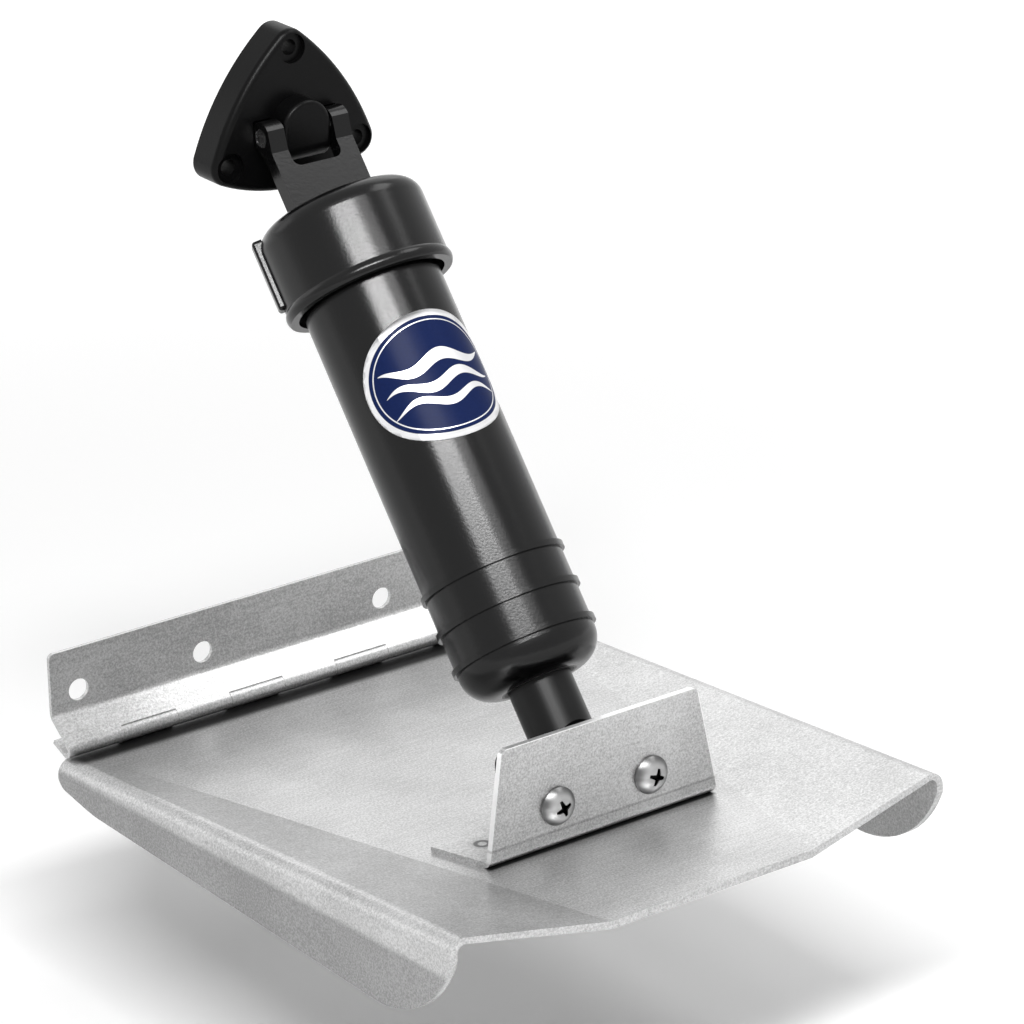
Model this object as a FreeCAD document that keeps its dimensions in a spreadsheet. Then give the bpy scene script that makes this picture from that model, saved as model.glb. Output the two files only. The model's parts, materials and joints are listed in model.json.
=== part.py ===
import FreeCAD, Part
import math
import os

import Sketcher

# Boat trim tab: a folded plane hung from the transom on a long hinge and moved by a hydraulic ram.
# +X runs along the hinge, +Y points forward into the transom and +Z is up.
# The origin is the middle of the hinge leaf's row of holes, on the face that lies on the transom.
# Lengths are in millimetres and angles in degrees.

# Knuckles along the hinge, an odd number so that the transom leaf has both ends
KNUCKLES = 9
RIB_COUNT = 3

# How far a cut runs past the piece that it trims, as a share of the piece's size
CUT_MARGIN = 1.2

SIZES = {
    # Trim plane
    "plane_width": 206.0,
    "plane_taper": 3.0,
    "plane_length": 231.7,
    "plane_sheet": 2.7,
    "plane_lead": 1.0,
    "fold_radius": 5.5,
    "tip_rise": 11.1,
    "tip_sweep": 4.2,
    "panel_half_width": 40.8,
    "crease_inset": 4.0,
    "fin_front_depth": 9.0,
    "fin_nose_radius": 6.0,
    "fin_nose_ahead": 0.5,
    "fin_nose_length": 21.0,
    "fin_nose_depth": 13.7,
    "fin_belly_radius": 60.0,
    "fin_rear_depth": 24.6,
    "fin_straight": 186.0,
    "fin_rear_radius": 44.4,
    "rest_tilt": 3.0,
    # Hinge
    "hinge_pin_radius": 1.6,
    "hinge_pin_inset": 1.0,
    "hinge_pin_out": 9.1,
    "hinge_pin_down": 16.9,
    "hinge_gap": 0.5,
    "knuckle_gap": 0.1,
    "knuckle_fit": 0.05,
    "leaf_length": 200.0,
    "leaf_sheet": 1.5,
    "leaf_above": 15.7,
    "leaf_slope": 37.0,
    "leaf_bend_radius": 3.0,
    "leaf_corner_radius": 2.0,
    "tail_length": 7.2,
    "tail_slope": 20.0,
    "leaf_hole_radius": 3.95,
    "outer_hole_spacing": 177.8,
    "inner_hole_spacing": 76.2,
    "under_leaf_length": 194.0,
    "under_leaf_depth": 24.0,
    "under_leaf_bend": 1.25,
    "roll_angle": 250.0,
    # Bracket on the plane
    "bracket_sheet": 1.9,
    "bracket_back": 174.2,
    "bracket_height": 40.2,
    "bracket_depth": 25.6,
    "bracket_bend_half": 46.4,
    "bracket_top_half": 40.0,
    "bracket_foot_half": 51.9,
    "bracket_bend_radius": 4.2,
    "bracket_corner_radius": 3.0,
    "screw_spacing": 38.1,
    "screw_height": 15.1,
    "screw_radius": 3.175,
    "screw_hole_fit": 0.15,
    "screw_length": 19.0,
    "screw_head_radius": 6.6,
    "screw_head_height": 4.4,
    "screw_head_rim": 1.0,
    "recess_arm": 3.0,
    "recess_root": 0.9,
    "recess_tip": 0.5,
    "recess_depth": 2.4,
    "recess_turn": 20.0,
    # Moulded lower hinge
    "block_width": 54.0,
    "block_thickness": 5.0,
    "block_corner_radius": 4.0,
    "block_wall": 3.0,
    "lower_ear_width": 14.0,
    "lower_ear_radius": 6.6,
    "eye_side_gap": 0.4,
    "lower_pin_radius": 3.175,
    "lower_pin_back": 156.1,
    "lower_pin_height": 22.8,
    "lower_pin_inset": 0.6,
    # Ram and cylinder, measured down the axis from the upper pin
    "pin_to_pin": 230.2,
    "ram_showing": 25.2,
    "ram_radius": 11.1,
    "eye_radius": 8.5,
    "eye_flat_length": 5.0,
    "open_pivot_fit": 0.82,
    "barrel_radius": 24.35,
    "bore_radius": 21.15,
    "barrel_end_radius": 10.5,
    "barrel_floor": 9.0,
    "rib_above_end": 40.4,
    "rib_spacing": 13.2,
    "rib_width": 2.0,
    "rib_height": 1.15,
    "cap_top": 29.5,
    "cap_radius": 29.25,
    "cap_edge_radius": 7.0,
    "cap_bottom": 62.0,
    "cap_wall": 6.5,
    "bead_width": 4.2,
    "bead_height": 0.75,
    "mouth_gap": 2.0,
    "mouth_depth": 5.0,
    "spigot_length": 14.0,
    "spigot_fit": 0.15,
    "lug_angle": 154.0,
    "lug_width": 6.0,
    "lug_proud": 1.8,
    "lug_edge_radius": 1.2,
    "lug_top": 31.0,
    "lug_bottom": 56.5,
    "stem_thickness": 5.5,
    "slot_bottom": 13.2,
    "slot_corner_radius": 3.0,
    "upper_ear_width": 6.6,
    "upper_ear_radius": 5.6,
    "ear_neck": 7.0,
    "stem_side_gap": 0.3,
    "passage_radius": 1.2,
    # Inside the cylinder
    "piston_top": 58.0,
    "piston_height": 14.0,
    "piston_fit": 0.3,
    "ring_fit": 0.15,
    "ring_depth": 3.0,
    "ring_height": 3.2,
    "ring_edge": 2.2,
    "spigot_radius": 6.0,
    "piston_screw_radius": 3.0,
    "piston_screw_length": 22.0,
    "piston_screw_head": 9.0,
    "piston_screw_head_height": 4.5,
    "guide_fit": 0.1,
    "guide_wall": 2.2,
    "guide_flange": 3.0,
    "wiper_depth": 1.3,
    "wiper_height": 3.4,
    "spring_wire_radius": 1.6,
    "spring_radius": 17.2,
    "spring_turns": 7.0,
    "cap_ring_section": 1.3,
    # Mounting base and upper pin
    "base_thickness": 13.2,
    "base_hole_spacing": 52.2,
    "base_hole_rise": 37.0,
    "base_hole_drop": 9.6,
    "base_hole_radius": 2.75,
    "base_corner_radius": 6.6,
    "base_side_radius": 95.0,
    "base_bottom_radius": 68.0,
    "base_edge_radius": 2.5,
    "pad_radius": 5.2,
    "pad_depth": 2.0,
    "upper_pin_out": 17.0,
    "upper_pin_radius": 3.175,
    "upper_pin_fit": 0.05,
    "boss_half_width": 9.45,
    "boss_proud": 8.2,
    "boss_above": 11.0,
    "boss_below": 10.5,
    "boss_edge_radius": 1.5,
    "boss_chin_radius": 6.0,
    "ear_pocket_gap": 0.7,
    "port_radius": 5.0,
    "port_depth": 9.0,
    "pin_ring_section": 0.75,
    "pin_ring_spacing": 3.8,
    "boss_ring_place": 5.5,
    "pin_drilling_radius": 1.0,
}

DOC = FreeCAD.newDocument("BoatTrimTab")


class Size:
    """A number together with the sheet formula that gives it."""

    def __init__(self, value, text=None):
        self.value = float(value)
        self.text = text if text is not None else "(%r)" % float(value)

    def __add__(self, other):
        other = as_size(other)
        return Size(self.value + other.value, "(%s + %s)" % (self.text, other.text))

    def __sub__(self, other):
        other = as_size(other)
        return Size(self.value - other.value, "(%s - %s)" % (self.text, other.text))

    def __mul__(self, other):
        other = as_size(other)
        return Size(self.value * other.value, "%s * %s" % (self.text, other.text))

    def __truediv__(self, other):
        other = as_size(other)
        return Size(self.value / other.value, "%s / (%s)" % (self.text, other.text))

    def __neg__(self):
        return Size(-self.value, "(0 - %s)" % self.text)

    def __radd__(self, other):
        return as_size(other) + self

    def __rsub__(self, other):
        return as_size(other) - self

    def __rmul__(self, other):
        return as_size(other) * self


def as_size(number):
    return number if isinstance(number, Size) else Size(number)


def sine(angle):
    return Size(math.sin(math.radians(angle.value)), "sin(%s)" % angle.text)


def cosine(angle):
    return Size(math.cos(math.radians(angle.value)), "cos(%s)" % angle.text)


def arc_sine(ratio):
    return Size(math.degrees(math.asin(ratio.value)), "asin(%s)" % ratio.text)


def root(square):
    return Size(math.sqrt(square.value), "sqrt(%s)" % square.text)


def polar(radius, angle):
    return radius * cosine(angle), radius * sine(angle)


def make_sheet():
    sheet = DOC.addObject("Spreadsheet::Sheet", "Sizes")
    for row, (name, value) in enumerate(SIZES.items(), start=1):
        sheet.set("A%d" % row, name)
        sheet.set("B%d" % row, str(value))
        sheet.setAlias("B%d" % row, name)
    DOC.recompute()
    return {name: Size(value, "Sizes.%s" % name) for name, value in SIZES.items()}


S = make_sheet()
ZERO = Size(0, "0")


# Sketches

class Bend:
    """A round edge about a centre, between the corners before and after it."""

    def __init__(self, x, y, anticlockwise=True):
        self.x = x
        self.y = y
        self.anticlockwise = anticlockwise


def vector(x, y):
    return FreeCAD.Vector(x, y, 0)


def add_sketch(body, role, name, lift=None, turn=None):
    """Puts a sketch on one of the body's own planes, lifted along its normal and turned about it."""
    sketch = body.newObject("Sketcher::SketchObject", name)
    plane = next(item for item in body.Origin.OriginFeatures if item.Role == role)
    sketch.AttachmentSupport = [(plane, "")]
    sketch.MapMode = "FlatFace"
    height = lift.value if lift else 0
    angle = turn.value if turn else 0
    turned = FreeCAD.Rotation(FreeCAD.Vector(0, 0, 1), angle)
    sketch.AttachmentOffset = FreeCAD.Placement(FreeCAD.Vector(0, 0, height), turned)
    if lift:
        sketch.setExpression("AttachmentOffset.Base.z", lift.text)
    if turn:
        sketch.setExpression("AttachmentOffset.Rotation.Angle", turn.text)
    return sketch


def add_constraint(sketch, kind, *values, size=None):
    number = [size.value] if size is not None else []
    index = sketch.addConstraint(Sketcher.Constraint(kind, *values, *number))
    if size is not None:
        sketch.setExpression("Constraints[%d]" % index, size.text)


def lock_distance(sketch, geometry, end, kind, distance):
    """Holds a point at its distance from one of the sketch's axes."""
    if distance.text == "0":
        axis = -2 if kind == "DistanceX" else -1
        add_constraint(sketch, "PointOnObject", geometry, end, axis)
    else:
        add_constraint(sketch, kind, -1, 1, geometry, end, size=distance)


def lock_point(sketch, geometry, end, x, y):
    lock_distance(sketch, geometry, end, "DistanceX", x)
    lock_distance(sketch, geometry, end, "DistanceY", y)


def add_circle(sketch, x, y, radius):
    circle = Part.Circle(vector(x.value, y.value), FreeCAD.Vector(0, 0, 1), radius.value)
    geometry = sketch.addGeometry(circle)
    lock_point(sketch, geometry, 3, x, y)
    add_constraint(sketch, "Radius", geometry, size=radius)


def round_corner(before, corner, after, radius):
    """Works out the arc that rounds a corner, and whether it turns anticlockwise."""
    to_before = (before - corner).normalize()
    to_after = (after - corner).normalize()
    half = to_before.getAngle(to_after) / 2
    reach = radius / math.tan(half)
    centre = corner + (to_before + to_after).normalize() * (radius / math.sin(half))
    anticlockwise = to_before.cross(to_after).z < 0
    return corner + to_before * reach, corner + to_after * reach, centre, anticlockwise


def add_arc(sketch, start, end, centre, radius, anticlockwise):
    """Adds an arc and says which of its ends is the first along the outline."""
    first, last = (start, end) if anticlockwise else (end, start)
    angle_first = math.atan2(first.y - centre.y, first.x - centre.x)
    angle_last = math.atan2(last.y - centre.y, last.x - centre.x)
    if angle_last <= angle_first:
        angle_last += 2 * math.pi
    circle = Part.Circle(centre, FreeCAD.Vector(0, 0, 1), radius)
    geometry = sketch.addGeometry(Part.ArcOfCircle(circle, angle_first, angle_last))
    return geometry, (1, 2) if anticlockwise else (2, 1)


def add_bend(sketch, start, end, bend):
    """Adds a round edge; its two ends and one coordinate of its centre fix it."""
    centre = vector(bend.x.value, bend.y.value)
    radius = start.distanceToPoint(centre)
    edge, order = add_arc(sketch, start, end, centre, radius, bend.anticlockwise)
    chord = end - start
    if abs(chord.x) > abs(chord.y):
        lock_distance(sketch, edge, 3, "DistanceY", bend.y)
    else:
        lock_distance(sketch, edge, 3, "DistanceX", bend.x)
    return edge, order


def draw_outline(sketch, items, closed=True):
    """Draws an outline through corners (x, y) or (x, y, rounding radius), with Bends between them."""
    corners = []
    bends = {}
    for item in items:
        if isinstance(item, Bend):
            bends[len(corners) - 1] = item
        else:
            corners.append(tuple(as_size(value) for value in item))
    count = len(corners)
    points = [vector(corner[0].value, corner[1].value) for corner in corners]
    starts = list(points)
    ends = list(points)
    joints = []
    for index, corner in enumerate(corners):
        if len(corner) == 3:
            before = points[index - 1]
            after = points[(index + 1) % count]
            shape = round_corner(before, points[index], after, corner[2].value)
            ends[index], starts[index], centre, anticlockwise = shape
            arc, order = add_arc(sketch, ends[index], starts[index], centre, corner[2].value, anticlockwise)
            add_constraint(sketch, "Radius", arc, size=corner[2])
            joints.append((arc, order))
        else:
            joints.append(None)
    edges = []
    for index in range(count if closed else count - 1):
        following = (index + 1) % count
        if index in bends:
            edge, order = add_bend(sketch, starts[index], ends[following], bends[index])
        else:
            edge = sketch.addGeometry(Part.LineSegment(starts[index], ends[following]))
            order = (1, 2)
        edges.append((edge, order))
    for index, corner in enumerate(corners):
        arriving = edges[index - 1] if closed or index > 0 else None
        leaving = edges[index] if closed or index < count - 1 else None
        if joints[index]:
            join_rounded(sketch, corner, arriving, joints[index], leaving)
            continue
        if arriving and leaving:
            add_constraint(sketch, "Coincident", arriving[0], arriving[1][1], leaving[0], leaving[1][0])
        if leaving:
            lock_point(sketch, leaving[0], leaving[1][0], corner[0], corner[1])
        else:
            lock_point(sketch, arriving[0], arriving[1][1], corner[0], corner[1])


def join_rounded(sketch, corner, arriving, arc, leaving):
    """Ties a rounding arc to its two lines, which aim at the sharp corner."""
    add_constraint(sketch, "Tangent", arriving[0], arriving[1][1], arc[0], arc[1][0])
    add_constraint(sketch, "Tangent", arc[0], arc[1][1], leaving[0], leaving[1][0])
    point = sketch.addGeometry(Part.Point(vector(corner[0].value, corner[1].value)), True)
    lock_point(sketch, point, 1, corner[0], corner[1])
    add_constraint(sketch, "PointOnObject", point, 1, arriving[0])
    add_constraint(sketch, "PointOnObject", point, 1, leaving[0])


def draw_box(sketch, left, right, low, high):
    draw_outline(sketch, [(left, low), (right, low), (right, high), (left, high)])


# Bodies and features

def add_body(name):
    body = DOC.addObject("PartDesign::Body", name)
    body.Label = name
    return body


def volume(body):
    return 0.0 if body.Shape.isNull() else body.Shape.Volume


def add_feature(body, kind, grows, **settings):
    """Adds a feature, binds its sizes and makes sure that it adds or takes away material."""
    before = volume(body)
    feature = body.newObject("PartDesign::" + kind, kind)
    for name, value in settings.items():
        if isinstance(value, Size):
            feature.setExpression(name, value.text)
        else:
            setattr(feature, name, value)
    body.Tip = feature
    DOC.recompute()
    after = volume(body)
    change = after - before
    if after == 0 or change == 0 or (change > 0) != grows:
        raise RuntimeError("%s of %s changes the volume by %.3f" % (feature.Name, body.Label, change))
    return feature


def add_pad(body, sketch, length, **settings):
    return add_feature(body, "Pad", True, Profile=sketch, Length=length, **settings)


def add_pocket(body, sketch, length, **settings):
    return add_feature(body, "Pocket", False, Profile=sketch, Length=length, **settings)


def cut_through(body, sketch, **settings):
    return add_feature(body, "Pocket", False, Profile=sketch, Type="ThroughAll", **settings)


def revolve(body, sketch, axis="V_Axis"):
    return add_feature(
        body, "Revolution", True, Profile=sketch, ReferenceAxis=(sketch, [axis]), Angle=360.0
    )


def mirror(body, originals, role, grows):
    plane = next(item for item in body.Origin.OriginFeatures if item.Role == role)
    return add_feature(body, "Mirrored", grows, Originals=originals, MirrorPlane=(plane, [""]))


def repeat(body, original, role, spacing, count, grows, backward=False):
    axis = next(item for item in body.Origin.OriginFeatures if item.Role == role)
    return add_feature(
        body,
        "LinearPattern",
        grows,
        Originals=[original],
        Direction=(axis, [""]),
        Mode="Spacing",
        Offset=spacing,
        Occurrences=count,
        Reversed=backward,
    )


def fillet(body, radius, chosen):
    """Rounds the edges for which chosen(edge) is true."""
    tip = body.Tip
    names = ["Edge%d" % (i + 1) for i, edge in enumerate(tip.Shape.Edges) if chosen(edge)]
    if not names:
        raise RuntimeError("no edge to round on %s" % body.Label)
    feature = body.newObject("PartDesign::Fillet", "Fillet")
    feature.Base = (tip, names)
    feature.setExpression("Radius", radius.text)
    body.Tip = feature
    DOC.recompute()
    if "Invalid" in feature.State:
        raise RuntimeError("%s of %s cannot round its edges" % (feature.Name, body.Label))


def near(number, size, slack=0.02):
    return abs(number - as_size(size).value) < slack


def in_plane(edge, axis, size):
    """True where an edge keeps one coordinate, 'x', 'y' or 'z', at the given size."""
    ends = [getattr(vertex.Point, axis) for vertex in edge.Vertexes]
    middle = getattr(edge.valueAt((edge.FirstParameter + edge.LastParameter) / 2), axis)
    return all(near(value, size) for value in ends + [middle])


def place(thing, y=ZERO, z=ZERO, lean=None):
    """Moves a piece in the plane of its motion and leans it about -X."""
    angle = lean.value if lean else 0
    rotation = FreeCAD.Rotation(FreeCAD.Vector(-1, 0, 0), angle)
    thing.Placement = FreeCAD.Placement(FreeCAD.Vector(0, y.value, z.value), rotation)
    thing.setExpression("Placement.Base.y", y.text)
    thing.setExpression("Placement.Base.z", z.text)
    if lean:
        thing.setExpression("Placement.Rotation.Angle", lean.text)


def place_on_plane(thing):
    """The plane's frame has its origin on the hinge pin and Z square to the plane."""
    place(thing, -S["hinge_pin_out"], -S["hinge_pin_down"], S["rest_tilt"])


def place_on_axis(thing):
    """The ram's frame has its origin on the upper pin and Z up the ram."""
    place(thing, -S["upper_pin_out"], UPPER_PIN_Z, RAM_LEAN)


def add_cross_pin(name, radius, length):
    """A plain pin along X, centred on the origin."""
    body = add_body(name)
    sketch = add_sketch(body, "YZ_Plane", name + "_section")
    add_circle(sketch, ZERO, ZERO, radius)
    add_pad(body, sketch, length, SideType="Symmetric")
    return body


# Places that several pieces share

PLANE_TOP = -(S["hinge_pin_radius"] + S["knuckle_fit"] + S["leaf_sheet"] + S["hinge_gap"])
ROLL_RADIUS = S["hinge_pin_radius"] + S["knuckle_fit"] + S["leaf_sheet"] / 2
KNUCKLE_PITCH = S["leaf_length"] / KNUCKLES
STEM_HALF_WIDTH = S["boss_half_width"] + S["stem_side_gap"] + S["upper_ear_width"]

LOWER_PIN_FORWARD = -S["lower_pin_back"]
LOWER_PIN_UP = PLANE_TOP + S["lower_pin_height"]
LOWER_PIN_Y = (
    -S["hinge_pin_out"]
    + LOWER_PIN_FORWARD * cosine(S["rest_tilt"])
    + LOWER_PIN_UP * sine(S["rest_tilt"])
)
LOWER_PIN_Z = (
    -S["hinge_pin_down"]
    - LOWER_PIN_FORWARD * sine(S["rest_tilt"])
    + LOWER_PIN_UP * cosine(S["rest_tilt"])
)
BARREL_END = S["pin_to_pin"] - S["ram_showing"]
RAM_REACH = -S["upper_pin_out"] - LOWER_PIN_Y
RAM_RISE = root(S["pin_to_pin"] * S["pin_to_pin"] - RAM_REACH * RAM_REACH)
UPPER_PIN_Z = LOWER_PIN_Z + RAM_RISE
RAM_LEAN = arc_sine(RAM_REACH / S["pin_to_pin"])


# Hinge

def make_transom_hinge_leaf():
    """Screw flange, sloping strip, roll round the pin and a short tail, all one bent strip."""
    body = add_body("transom_hinge_leaf")
    pin_y = -S["hinge_pin_out"]
    pin_z = -S["hinge_pin_down"]
    half_sheet = S["leaf_sheet"] / 2
    slope = S["leaf_slope"]
    tail = S["tail_slope"]
    strip_y = pin_y - ROLL_RADIUS * sine(slope)
    strip_z = pin_z + ROLL_RADIUS * cosine(slope)
    bend_z = strip_z - (half_sheet + strip_y) * sine(slope) / cosine(slope)
    under_y = pin_y + ROLL_RADIUS * sine(tail)
    under_z = pin_z - ROLL_RADIUS * cosine(tail)
    tail_y = under_y + S["tail_length"] * cosine(tail)
    tail_z = under_z + S["tail_length"] * sine(tail)
    path = add_sketch(body, "YZ_Plane", "leaf_path")
    draw_outline(
        path,
        [
            (-half_sheet, S["leaf_above"]),
            (-half_sheet, bend_z, S["leaf_bend_radius"]),
            (strip_y, strip_z),
            Bend(pin_y, pin_z),
            (under_y, under_z),
            (tail_y, tail_z),
        ],
        closed=False,
    )
    section = add_sketch(body, "XY_Plane", "leaf_section", lift=S["leaf_above"])
    draw_box(section, -S["leaf_length"] / 2, S["leaf_length"] / 2, -S["leaf_sheet"], ZERO)
    add_feature(body, "AdditivePipe", True, Profile=section, Spine=(path, []))

    holes = add_sketch(body, "XZ_Plane", "leaf_holes")
    for spacing in (S["outer_hole_spacing"], S["inner_hole_spacing"]):
        for side in (-1, 1):
            add_circle(holes, spacing / 2 * side, ZERO, S["leaf_hole_radius"])
    cut_through(body, holes, SideType="Symmetric")

    reach = ROLL_RADIUS + half_sheet + S["hinge_gap"]
    slot_top = pin_z + ROLL_RADIUS + half_sheet + S["knuckle_gap"]
    first = KNUCKLE_PITCH * 1.5 - S["leaf_length"] / 2
    gap = add_sketch(body, "YZ_Plane", "knuckle_gap", lift=first)
    draw_box(gap, pin_y - reach, reach, pin_z - reach * 2, slot_top)
    width = KNUCKLE_PITCH + S["knuckle_gap"]
    notch = add_pocket(body, gap, width, SideType="Symmetric")
    repeat(body, notch, "X_Axis", KNUCKLE_PITCH * 2, (KNUCKLES - 1) // 2, grows=False)

    half_length = S["leaf_length"] / 2
    fillet(
        body,
        S["leaf_corner_radius"],
        lambda edge: in_plane(edge, "z", S["leaf_above"])
        and near(abs(edge.CenterOfMass.x), half_length),
    )
    return body


def make_hinge_pin():
    length = S["leaf_length"] - S["hinge_pin_inset"] * 2
    pin = add_cross_pin("hinge_pin", S["hinge_pin_radius"], length)
    place(pin, -S["hinge_pin_out"], -S["hinge_pin_down"])
    return pin


def make_plane_hinge_leaf():
    """Leaf under the plane, turned up ahead of its leading edge and rolled over the pin."""
    body = add_body("plane_hinge_leaf")
    half_sheet = S["leaf_sheet"] / 2
    leaf_z = PLANE_TOP - S["plane_sheet"] - half_sheet
    end_y, end_z = polar(ROLL_RADIUS, S["roll_angle"])
    path = add_sketch(body, "YZ_Plane", "under_leaf_path")
    draw_outline(
        path,
        [
            (-S["under_leaf_depth"], leaf_z),
            (ROLL_RADIUS, leaf_z, S["under_leaf_bend"]),
            (ROLL_RADIUS, ZERO),
            Bend(ZERO, ZERO),
            (end_y, end_z),
        ],
        closed=False,
    )
    section = add_sketch(body, "XZ_Plane", "under_leaf_section", lift=S["under_leaf_depth"])
    half_length = S["under_leaf_length"] / 2
    draw_box(section, -half_length, half_length, leaf_z - half_sheet, leaf_z + half_sheet)
    add_feature(body, "AdditivePipe", True, Profile=section, Spine=(path, []))

    reach = ROLL_RADIUS + half_sheet + S["hinge_gap"]
    first = KNUCKLE_PITCH * 0.5 - S["leaf_length"] / 2
    gap = add_sketch(body, "YZ_Plane", "under_leaf_gap", lift=first)
    draw_box(gap, -reach, reach, leaf_z - reach, reach)
    notch = add_pocket(body, gap, KNUCKLE_PITCH + S["knuckle_gap"], SideType="Symmetric")
    repeat(body, notch, "X_Axis", KNUCKLE_PITCH * 2, (KNUCKLES + 1) // 2, grows=False)
    place_on_plane(body)
    return body


# Trim plane

def draw_plane_section(sketch, half_width, crease, rise):
    """A bent section: the top, its outer panels raised towards the folds, and both fins."""
    sheet = S["plane_sheet"]
    foot = PLANE_TOP - S["fin_rear_depth"] * 2
    edge = PLANE_TOP + rise
    inner_radius = S["fold_radius"] - sheet
    draw_outline(
        sketch,
        [
            (half_width, foot),
            (half_width, edge, S["fold_radius"]),
            (crease, PLANE_TOP),
            (-crease, PLANE_TOP),
            (-half_width, edge, S["fold_radius"]),
            (-half_width, foot),
            (-half_width + sheet, foot),
            (-half_width + sheet, edge - sheet, inner_radius),
            (-crease, PLANE_TOP - sheet),
            (crease, PLANE_TOP - sheet),
            (half_width - sheet, edge - sheet, inner_radius),
            (half_width - sheet, foot),
        ],
    )


def make_trim_plane():
    """Folded plate: two side fins, and two long creases that raise the outer trailing corners."""
    body = add_body("trim_plane")
    lead = S["plane_lead"]
    tail_y = lead - S["plane_length"]
    corner_y = tail_y + S["tip_sweep"]
    half_front = S["plane_width"] / 2
    half_rear = half_front - S["plane_taper"]
    front = add_sketch(body, "XZ_Plane", "front_section", lift=-lead)
    draw_plane_section(front, half_front, half_front - S["fold_radius"] - S["crease_inset"], ZERO)
    rear = add_sketch(body, "XZ_Plane", "rear_section", lift=-tail_y)
    draw_plane_section(rear, half_rear, S["panel_half_width"], S["tip_rise"])
    add_feature(body, "AdditiveLoft", True, Profile=front, Sections=[rear], Ruled=True)

    fold_start = half_rear - S["fold_radius"]
    turn_z = PLANE_TOP - S["fin_rear_depth"]
    radius = S["fin_rear_radius"]
    centre_y = -S["fin_straight"]
    centre_z = turn_z + radius
    tip_z = PLANE_TOP + S["tip_rise"] + S["plane_sheet"]
    tip_drop = centre_z - tip_z
    tip_y = centre_y - root(radius * radius - tip_drop * tip_drop)
    nose_y = lead + S["fin_nose_ahead"]
    belly_y = lead - S["fin_nose_length"]
    far = S["plane_length"] * CUT_MARGIN
    for side in (1, -1):
        fin = add_sketch(body, "YZ_Plane", "fin_outline", lift=fold_start * side)
        draw_outline(
            fin,
            [
                (nose_y, PLANE_TOP),
                (nose_y, PLANE_TOP - S["fin_front_depth"], S["fin_nose_radius"]),
                (belly_y, PLANE_TOP - S["fin_nose_depth"], S["fin_belly_radius"]),
                (centre_y, turn_z),
                Bend(centre_y, centre_z, anticlockwise=False),
                (tip_y, tip_z),
                (-far, tip_z),
                (-far, -far),
                (far - S["plane_length"], -far),
                (far - S["plane_length"], PLANE_TOP),
            ],
        )
        cut_through(body, fin, Reversed=side > 0)
        corner = add_sketch(body, "XY_Plane", "trailing_corner")
        draw_outline(
            corner,
            [
                (half_front * side, corner_y),
                (S["panel_half_width"] * side, tail_y),
                (S["panel_half_width"] * side, -far),
                (half_front * side, -far),
            ],
        )
        cut_through(body, corner, SideType="Symmetric")
    place_on_plane(body)
    return body


# Bracket and lower hinge

def make_ram_bracket():
    """L bracket bent from one sheet, widest at its foot and spot welded on the plane."""
    body = add_body("ram_bracket")
    sheet = S["bracket_sheet"]
    back_y = -S["bracket_back"]
    front_y = back_y + S["bracket_depth"]
    top_z = PLANE_TOP + S["bracket_height"]
    bend = S["bracket_bend_radius"]
    profile = add_sketch(body, "YZ_Plane", "bracket_profile")
    draw_outline(
        profile,
        [
            (back_y, top_z),
            (back_y, PLANE_TOP, bend),
            (front_y, PLANE_TOP),
            (front_y, PLANE_TOP + sheet),
            (back_y + sheet, PLANE_TOP + sheet, bend - sheet),
            (back_y + sheet, top_z),
        ],
    )
    add_pad(body, profile, S["bracket_foot_half"] * 2, SideType="Symmetric")
    bend_half = S["bracket_bend_half"]
    outside = S["bracket_foot_half"] * CUT_MARGIN
    upright = add_sketch(body, "XZ_Plane", "upright_side")
    draw_outline(
        upright,
        [
            (bend_half, PLANE_TOP + bend),
            (outside, PLANE_TOP + bend),
            (outside, top_z),
            (S["bracket_top_half"], top_z),
        ],
    )
    upright_cut = cut_through(body, upright, SideType="Symmetric")
    foot = add_sketch(body, "XY_Plane", "foot_side")
    draw_outline(
        foot,
        [
            (bend_half, back_y),
            (outside, back_y),
            (outside, front_y),
            (S["bracket_foot_half"], front_y),
            (bend_half, back_y + bend),
        ],
    )
    foot_cut = cut_through(body, foot, SideType="Symmetric")
    mirror(body, [upright_cut, foot_cut], "YZ_Plane", grows=False)
    holes = add_sketch(body, "XZ_Plane", "bracket_holes", lift=-back_y)
    for side in (-1, 1):
        add_circle(
            holes,
            S["screw_spacing"] / 2 * side,
            PLANE_TOP + S["screw_height"],
            S["screw_radius"] + S["screw_hole_fit"],
        )
    add_pocket(body, holes, sheet)
    fillet(
        body,
        S["bracket_corner_radius"],
        lambda edge: in_plane(edge, "z", top_z) and edge.BoundBox.XLength < 1,
    )
    place_on_plane(body)
    return body


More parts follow.
